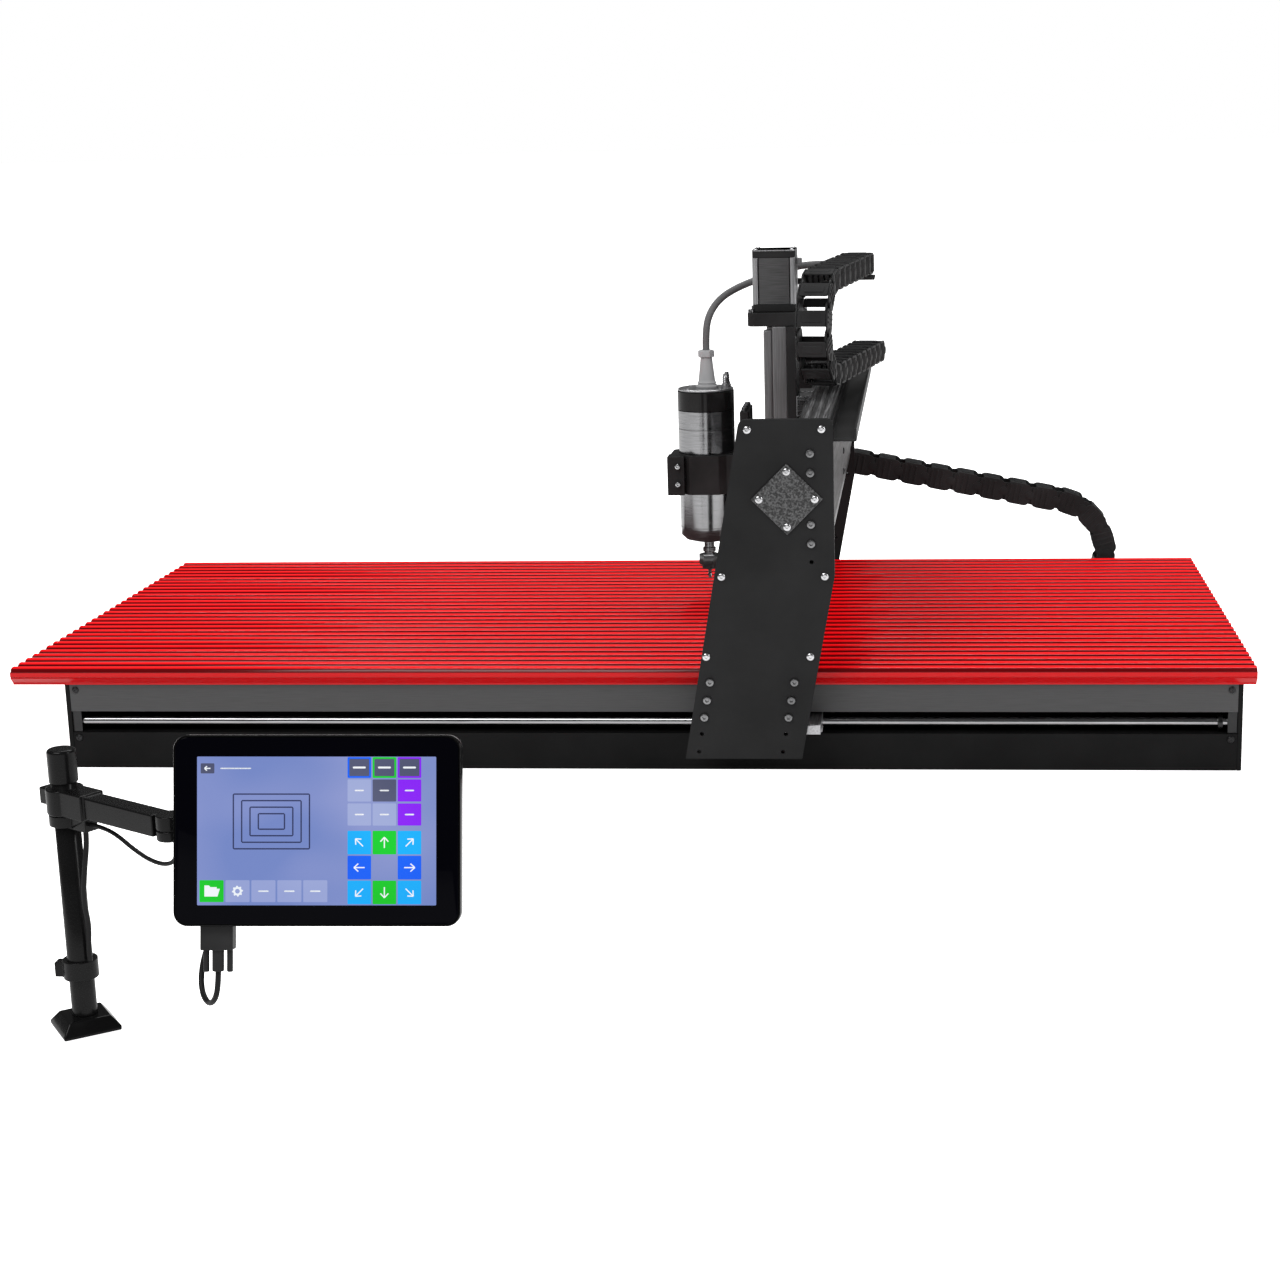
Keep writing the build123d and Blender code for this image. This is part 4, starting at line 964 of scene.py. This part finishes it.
def add_screen():
    """Screen, tiles and drawings, each colour one piece. The labels are left as plain bars."""
    place = display_place()
    columns = [35.9 * MM + i * TILE_PITCH for i in range(3)]
    rows = [53.4 * MM, 34.1 * MM, 13.9 * MM, -9.7 * MM, -30.7 * MM, -51.6 * MM]
    foot = [-88.3 * MM + i * 21.8 * MM for i in range(5)]
    groups = {name: [] for name in SCREEN}
    groups["panel"].append(tile(0, 0, SCREEN_WIDTH, SCREEN_HEIGHT, 0))
    readout = 17.5 * MM
    for x, colour in zip(columns, ("blue", "green", "purple")):
        groups[colour].append(tile(x, rows[0], TILE, readout, 1))
        groups["slate"].append(tile(x, rows[0], TILE - 3 * MM, readout - 3 * MM, 2))
        groups["white"].append(tile(x, rows[0], TILE * 0.55, 1.6 * MM, 3))
    for row, colours in ((rows[1], ("pale", "slate", "purple")), (rows[2], ("pale", "pale", "purple"))):
        for x, colour in zip(columns, colours):
            groups[colour].append(tile(x, row, TILE, 18.6 * MM, 1))
            groups["white"].append(tile(x, row, TILE * 0.4, 1.2 * MM, 3))
    pad = (("sky", "green", "sky"), ("blue", None, "blue"), ("sky", "green", "sky"))
    for j, colours in enumerate(pad):
        for i, colour in enumerate(colours):
            x, z = columns[i], rows[3 + j]
            if colour:
                groups[colour].append(tile(x, z, TILE, TILE, 1))
                groups["white"] += arrow(x, z, atan2(1 - i, 1 - j))
    foot_z = rows[5] + 1 * MM
    for i, x in enumerate(foot):
        groups["green" if i == 0 else "pale"].append(tile(x, foot_z, 20.3 * MM, 18.4 * MM, 1))
    for x in foot[2:]:
        groups["white"].append(tile(x, foot_z, 9 * MM, 1.2 * MM, 3))
    folder = [(-6, -4.5), (5, -4.5), (7, 2), (4.4, 2), (4.4, 3.4), (-1, 3.4), (-2.2, 4.8), (-6, 4.8)]
    groups["white"].append(drawn(folder, foot[0], foot_z, 0, 3))
    teeth = zip(np.linspace(0, 2 * pi, 32, endpoint=False), [4.6, 4.6, 3.6, 3.6] * 8)
    gear = [(cos(a) * r, sin(a) * r) for a, r in teeth]
    groups["white"].append(drawn(gear, foot[1], foot_z, 0, 2))
    hub = [(cos(a) * 2, sin(a) * 2) for a in np.linspace(0, 2 * pi, 20, endpoint=False)]
    groups["pale"].append(drawn(hub, foot[1], foot_z, 0, 3))
    groups["slate"].append(tile(-91.7 * MM, 52.6 * MM, 11.5 * MM, 8.5 * MM, 1))
    groups["white"] += arrow(-91.7 * MM, 52.6 * MM, pi / 2, 5.0)
    groups["white"].append(tile(-68 * MM, 52.6 * MM, 26 * MM, 1.0 * MM, 2))
    middle_x, middle_z = -38 * MM, 8 * MM
    for i in range(4):
        width, height = (64 - 14 * i) * MM, (46 - 11 * i) * MM
        for side in (-1, 1):
            groups["ink"].append(tile(middle_x, middle_z + side * height / 2, width, 1.2 * MM, 1))
            groups["ink"].append(tile(middle_x + side * width / 2, middle_z, 1.2 * MM, height, 1))
    for name, parts in groups.items():
        placed = [moved(part, place) for part in parts]
        add_piece(f"screen_{name}", placed, SCREEN[name], "display")


def add_display():
    """The casing, rounded rectangles drawn in at the front rim and at the back, and a sheet of glass."""
    place = display_place()
    width, height, depth = 242 * MM, 161 * MM, 26 * MM
    upright = Matrix.Rotation(-pi / 2, 4, "X")
    rings = []
    steps = ((1.9, 1.2), (1.1, 0.3), (0.4, 0.5), (0, 1.6), (0, 14), (0.6, 20), (3, 24.4), (6, 25.6), (10, 26))
    for inset, y in steps:
        corner = max(12 - inset, 4) * MM
        rings.append(raised(rounded(width - 2 * inset * MM, height - 2 * inset * MM, corner, 9), y * MM))
    casing = moved(skin(rings), place @ upright)
    add_piece("display_casing", [casing], GLOSS, "display", ["display_housing"])
    inner = [raised(rounded(width - inset * MM, height - inset * MM, 10.5 * MM, 9), y * MM)
             for inset, y in ((3.9, 1.6), (3.9, 0.3), (4.6, 0.0))]
    front = moved(skin(inner[::-1]), place @ upright)
    add_piece("display_front_glass", [front], GLASS, "display", ["display_glass"])
    opening = slab(60 * MM, 2.2 * MM, 1 * MM, 1 * MM)
    vents = [moved(opening, place @ upright @ at(0, z * MM, depth)) for z in range(44, 66, 5)]
    add_piece("display_vents", vents, NYLON, "display")


OILED = painted("oiled_steel", 0.16, 0.3, 0.3, 2200, 0.00002)
OILED.node_tree.nodes["Principled BSDF"].inputs["Metallic"].default_value = 1.0
POST = brushed("motor_posts", 0.3, 0.5, 0.32, 0.9, "Z")
GLAND = painted("gland_grey", 0.26, 0.38, 0.4, 700)
GLASS, _, glass = shader("front_glass", (0.001, 0.001, 0.002), 0.05)
glass.inputs["Specular IOR Level"].default_value = 0.03
SCREEN = {
    "panel": lit("screen_lavender", (0.17, 0.24, 0.56), (0.26, 0.31, 0.62)),
    "pale": lit("screen_pale", (0.30, 0.36, 0.66), (0.36, 0.42, 0.70)),
    "slate": lit("screen_slate", (0.06, 0.07, 0.14), (0.09, 0.10, 0.18)),
    "purple": lit("screen_purple", (0.22, 0.004, 0.9), (0.27, 0.01, 0.95)),
    "sky": lit("screen_sky", (0.0, 0.40, 0.95), (0.0, 0.46, 1.0)),
    "blue": lit("screen_blue", (0.0, 0.10, 0.9), (0.0, 0.13, 0.98)),
    "green": lit("screen_green", (0.0, 0.55, 0.01), (0.0, 0.65, 0.02)),
    "white": lit("screen_white", (0.85, 0.9, 0.95), (0.95, 0.97, 1.0)),
    "ink": lit("screen_ink", (0.03, 0.04, 0.12), (0.04, 0.05, 0.15)),
}


# ---------------------------------------------------------------- stage, lights and camera

def add_stage():
    """A wide floor just under the machine, white to the camera and pale to all other light."""
    floor = bpy.data.meshes.new("floor")
    reach = 60.0
    corners = [(-reach, -reach, 0), (reach, -reach, 0), (reach, reach, 0), (-reach, reach, 0)]
    floor.from_pydata(corners, [], [(0, 1, 2, 3)])
    material, tree, principled = shader("pale_floor", (0.9, 0.9, 0.9), 0.9)
    principled.inputs["Emission Color"].default_value = (1, 1, 1, 1)
    path = tree.nodes.new("ShaderNodeLightPath")
    tree.links.new(path.outputs["Is Camera Ray"], principled.inputs["Emission Strength"])
    floor.materials.append(material)
    floor_object = bpy.data.objects.new("floor", floor)
    floor_object.location.z = -0.5 * MM
    bpy.context.scene.collection.objects.link(floor_object)


def add_light(name, place, aim, size, power):
    """A rectangular soft light at a place, turned towards its aim."""
    light = bpy.data.lights.new(name, "AREA")
    light.shape = "RECTANGLE"
    light.size, light.size_y = size
    light.energy = power
    lamp = bpy.data.objects.new(name, light)
    facing_aim = (Vector(aim) - Vector(place)).to_track_quat("-Z", "Y").to_matrix().to_4x4()
    lamp.matrix_world = Matrix.Translation(place) @ facing_aim
    bpy.context.scene.collection.objects.link(lamp)


def add_lights():
    """A white surround for the camera, softer for light and dim in reflections, with three soft boxes."""
    world = bpy.data.worlds.new("studio")
    bpy.context.scene.world = world
    world.use_nodes = True
    tree = world.node_tree
    background = tree.nodes["Background"]
    path = tree.nodes.new("ShaderNodeLightPath")
    shade = tree.nodes.new("ShaderNodeMapRange")
    shade.inputs["To Min"].default_value = 0.8
    shade.inputs["To Max"].default_value = 0.09
    tree.links.new(path.outputs["Is Glossy Ray"], shade.inputs["Value"])
    seen = tree.nodes.new("ShaderNodeMath")
    seen.operation = "MAXIMUM"
    tree.links.new(shade.outputs["Result"], seen.inputs[0])
    tree.links.new(path.outputs["Is Camera Ray"], seen.inputs[1])
    tree.links.new(seen.outputs["Value"], background.inputs["Strength"])
    background.inputs["Color"].default_value = (1, 1, 1, 1)
    add_light("key_box", (-1.2, -2.6, 3.0), (0, 0, 0.1), (2.2, 1.2), 60)
    add_light("top_box", (0.2, 0.9, 2.8), (0, 0.1, 0.1), (3.4, 0.7), 45)
    add_light("side_box", (3.0, -1.8, 1.6), (0.2, 0, 0.3), (0.8, 1.8), 30)


def add_camera():
    """Where the machine is seen from: turned by yaw, tipped down by pitch, and rolled a little."""
    yaw, pitch, roll = radians(4.78), radians(13.06), radians(-1.19)
    camera = bpy.data.cameras.new("camera")
    camera.lens = 63.06
    camera.shift_x = -0.08
    holder = bpy.data.objects.new("camera", camera)
    turn = Matrix.Rotation(yaw, 4, "Z") @ Matrix.Rotation(pi / 2 - pitch, 4, "X")
    turn = turn @ Matrix.Rotation(roll, 4, "Z")
    holder.matrix_world = at(0.386, -3.099, 0.810) @ turn
    bpy.context.scene.collection.objects.link(holder)
    bpy.context.scene.camera = holder
    bpy.context.scene.view_settings.view_transform = "Standard"


add_stage()
add_lights()
add_camera()
add_bed()
add_base()
add_screws()
add_fasteners()
add_gantry()
add_carriage()
add_motors()
add_spindle()
add_chains()
add_cables()
add_stand()
add_display()
add_screen()
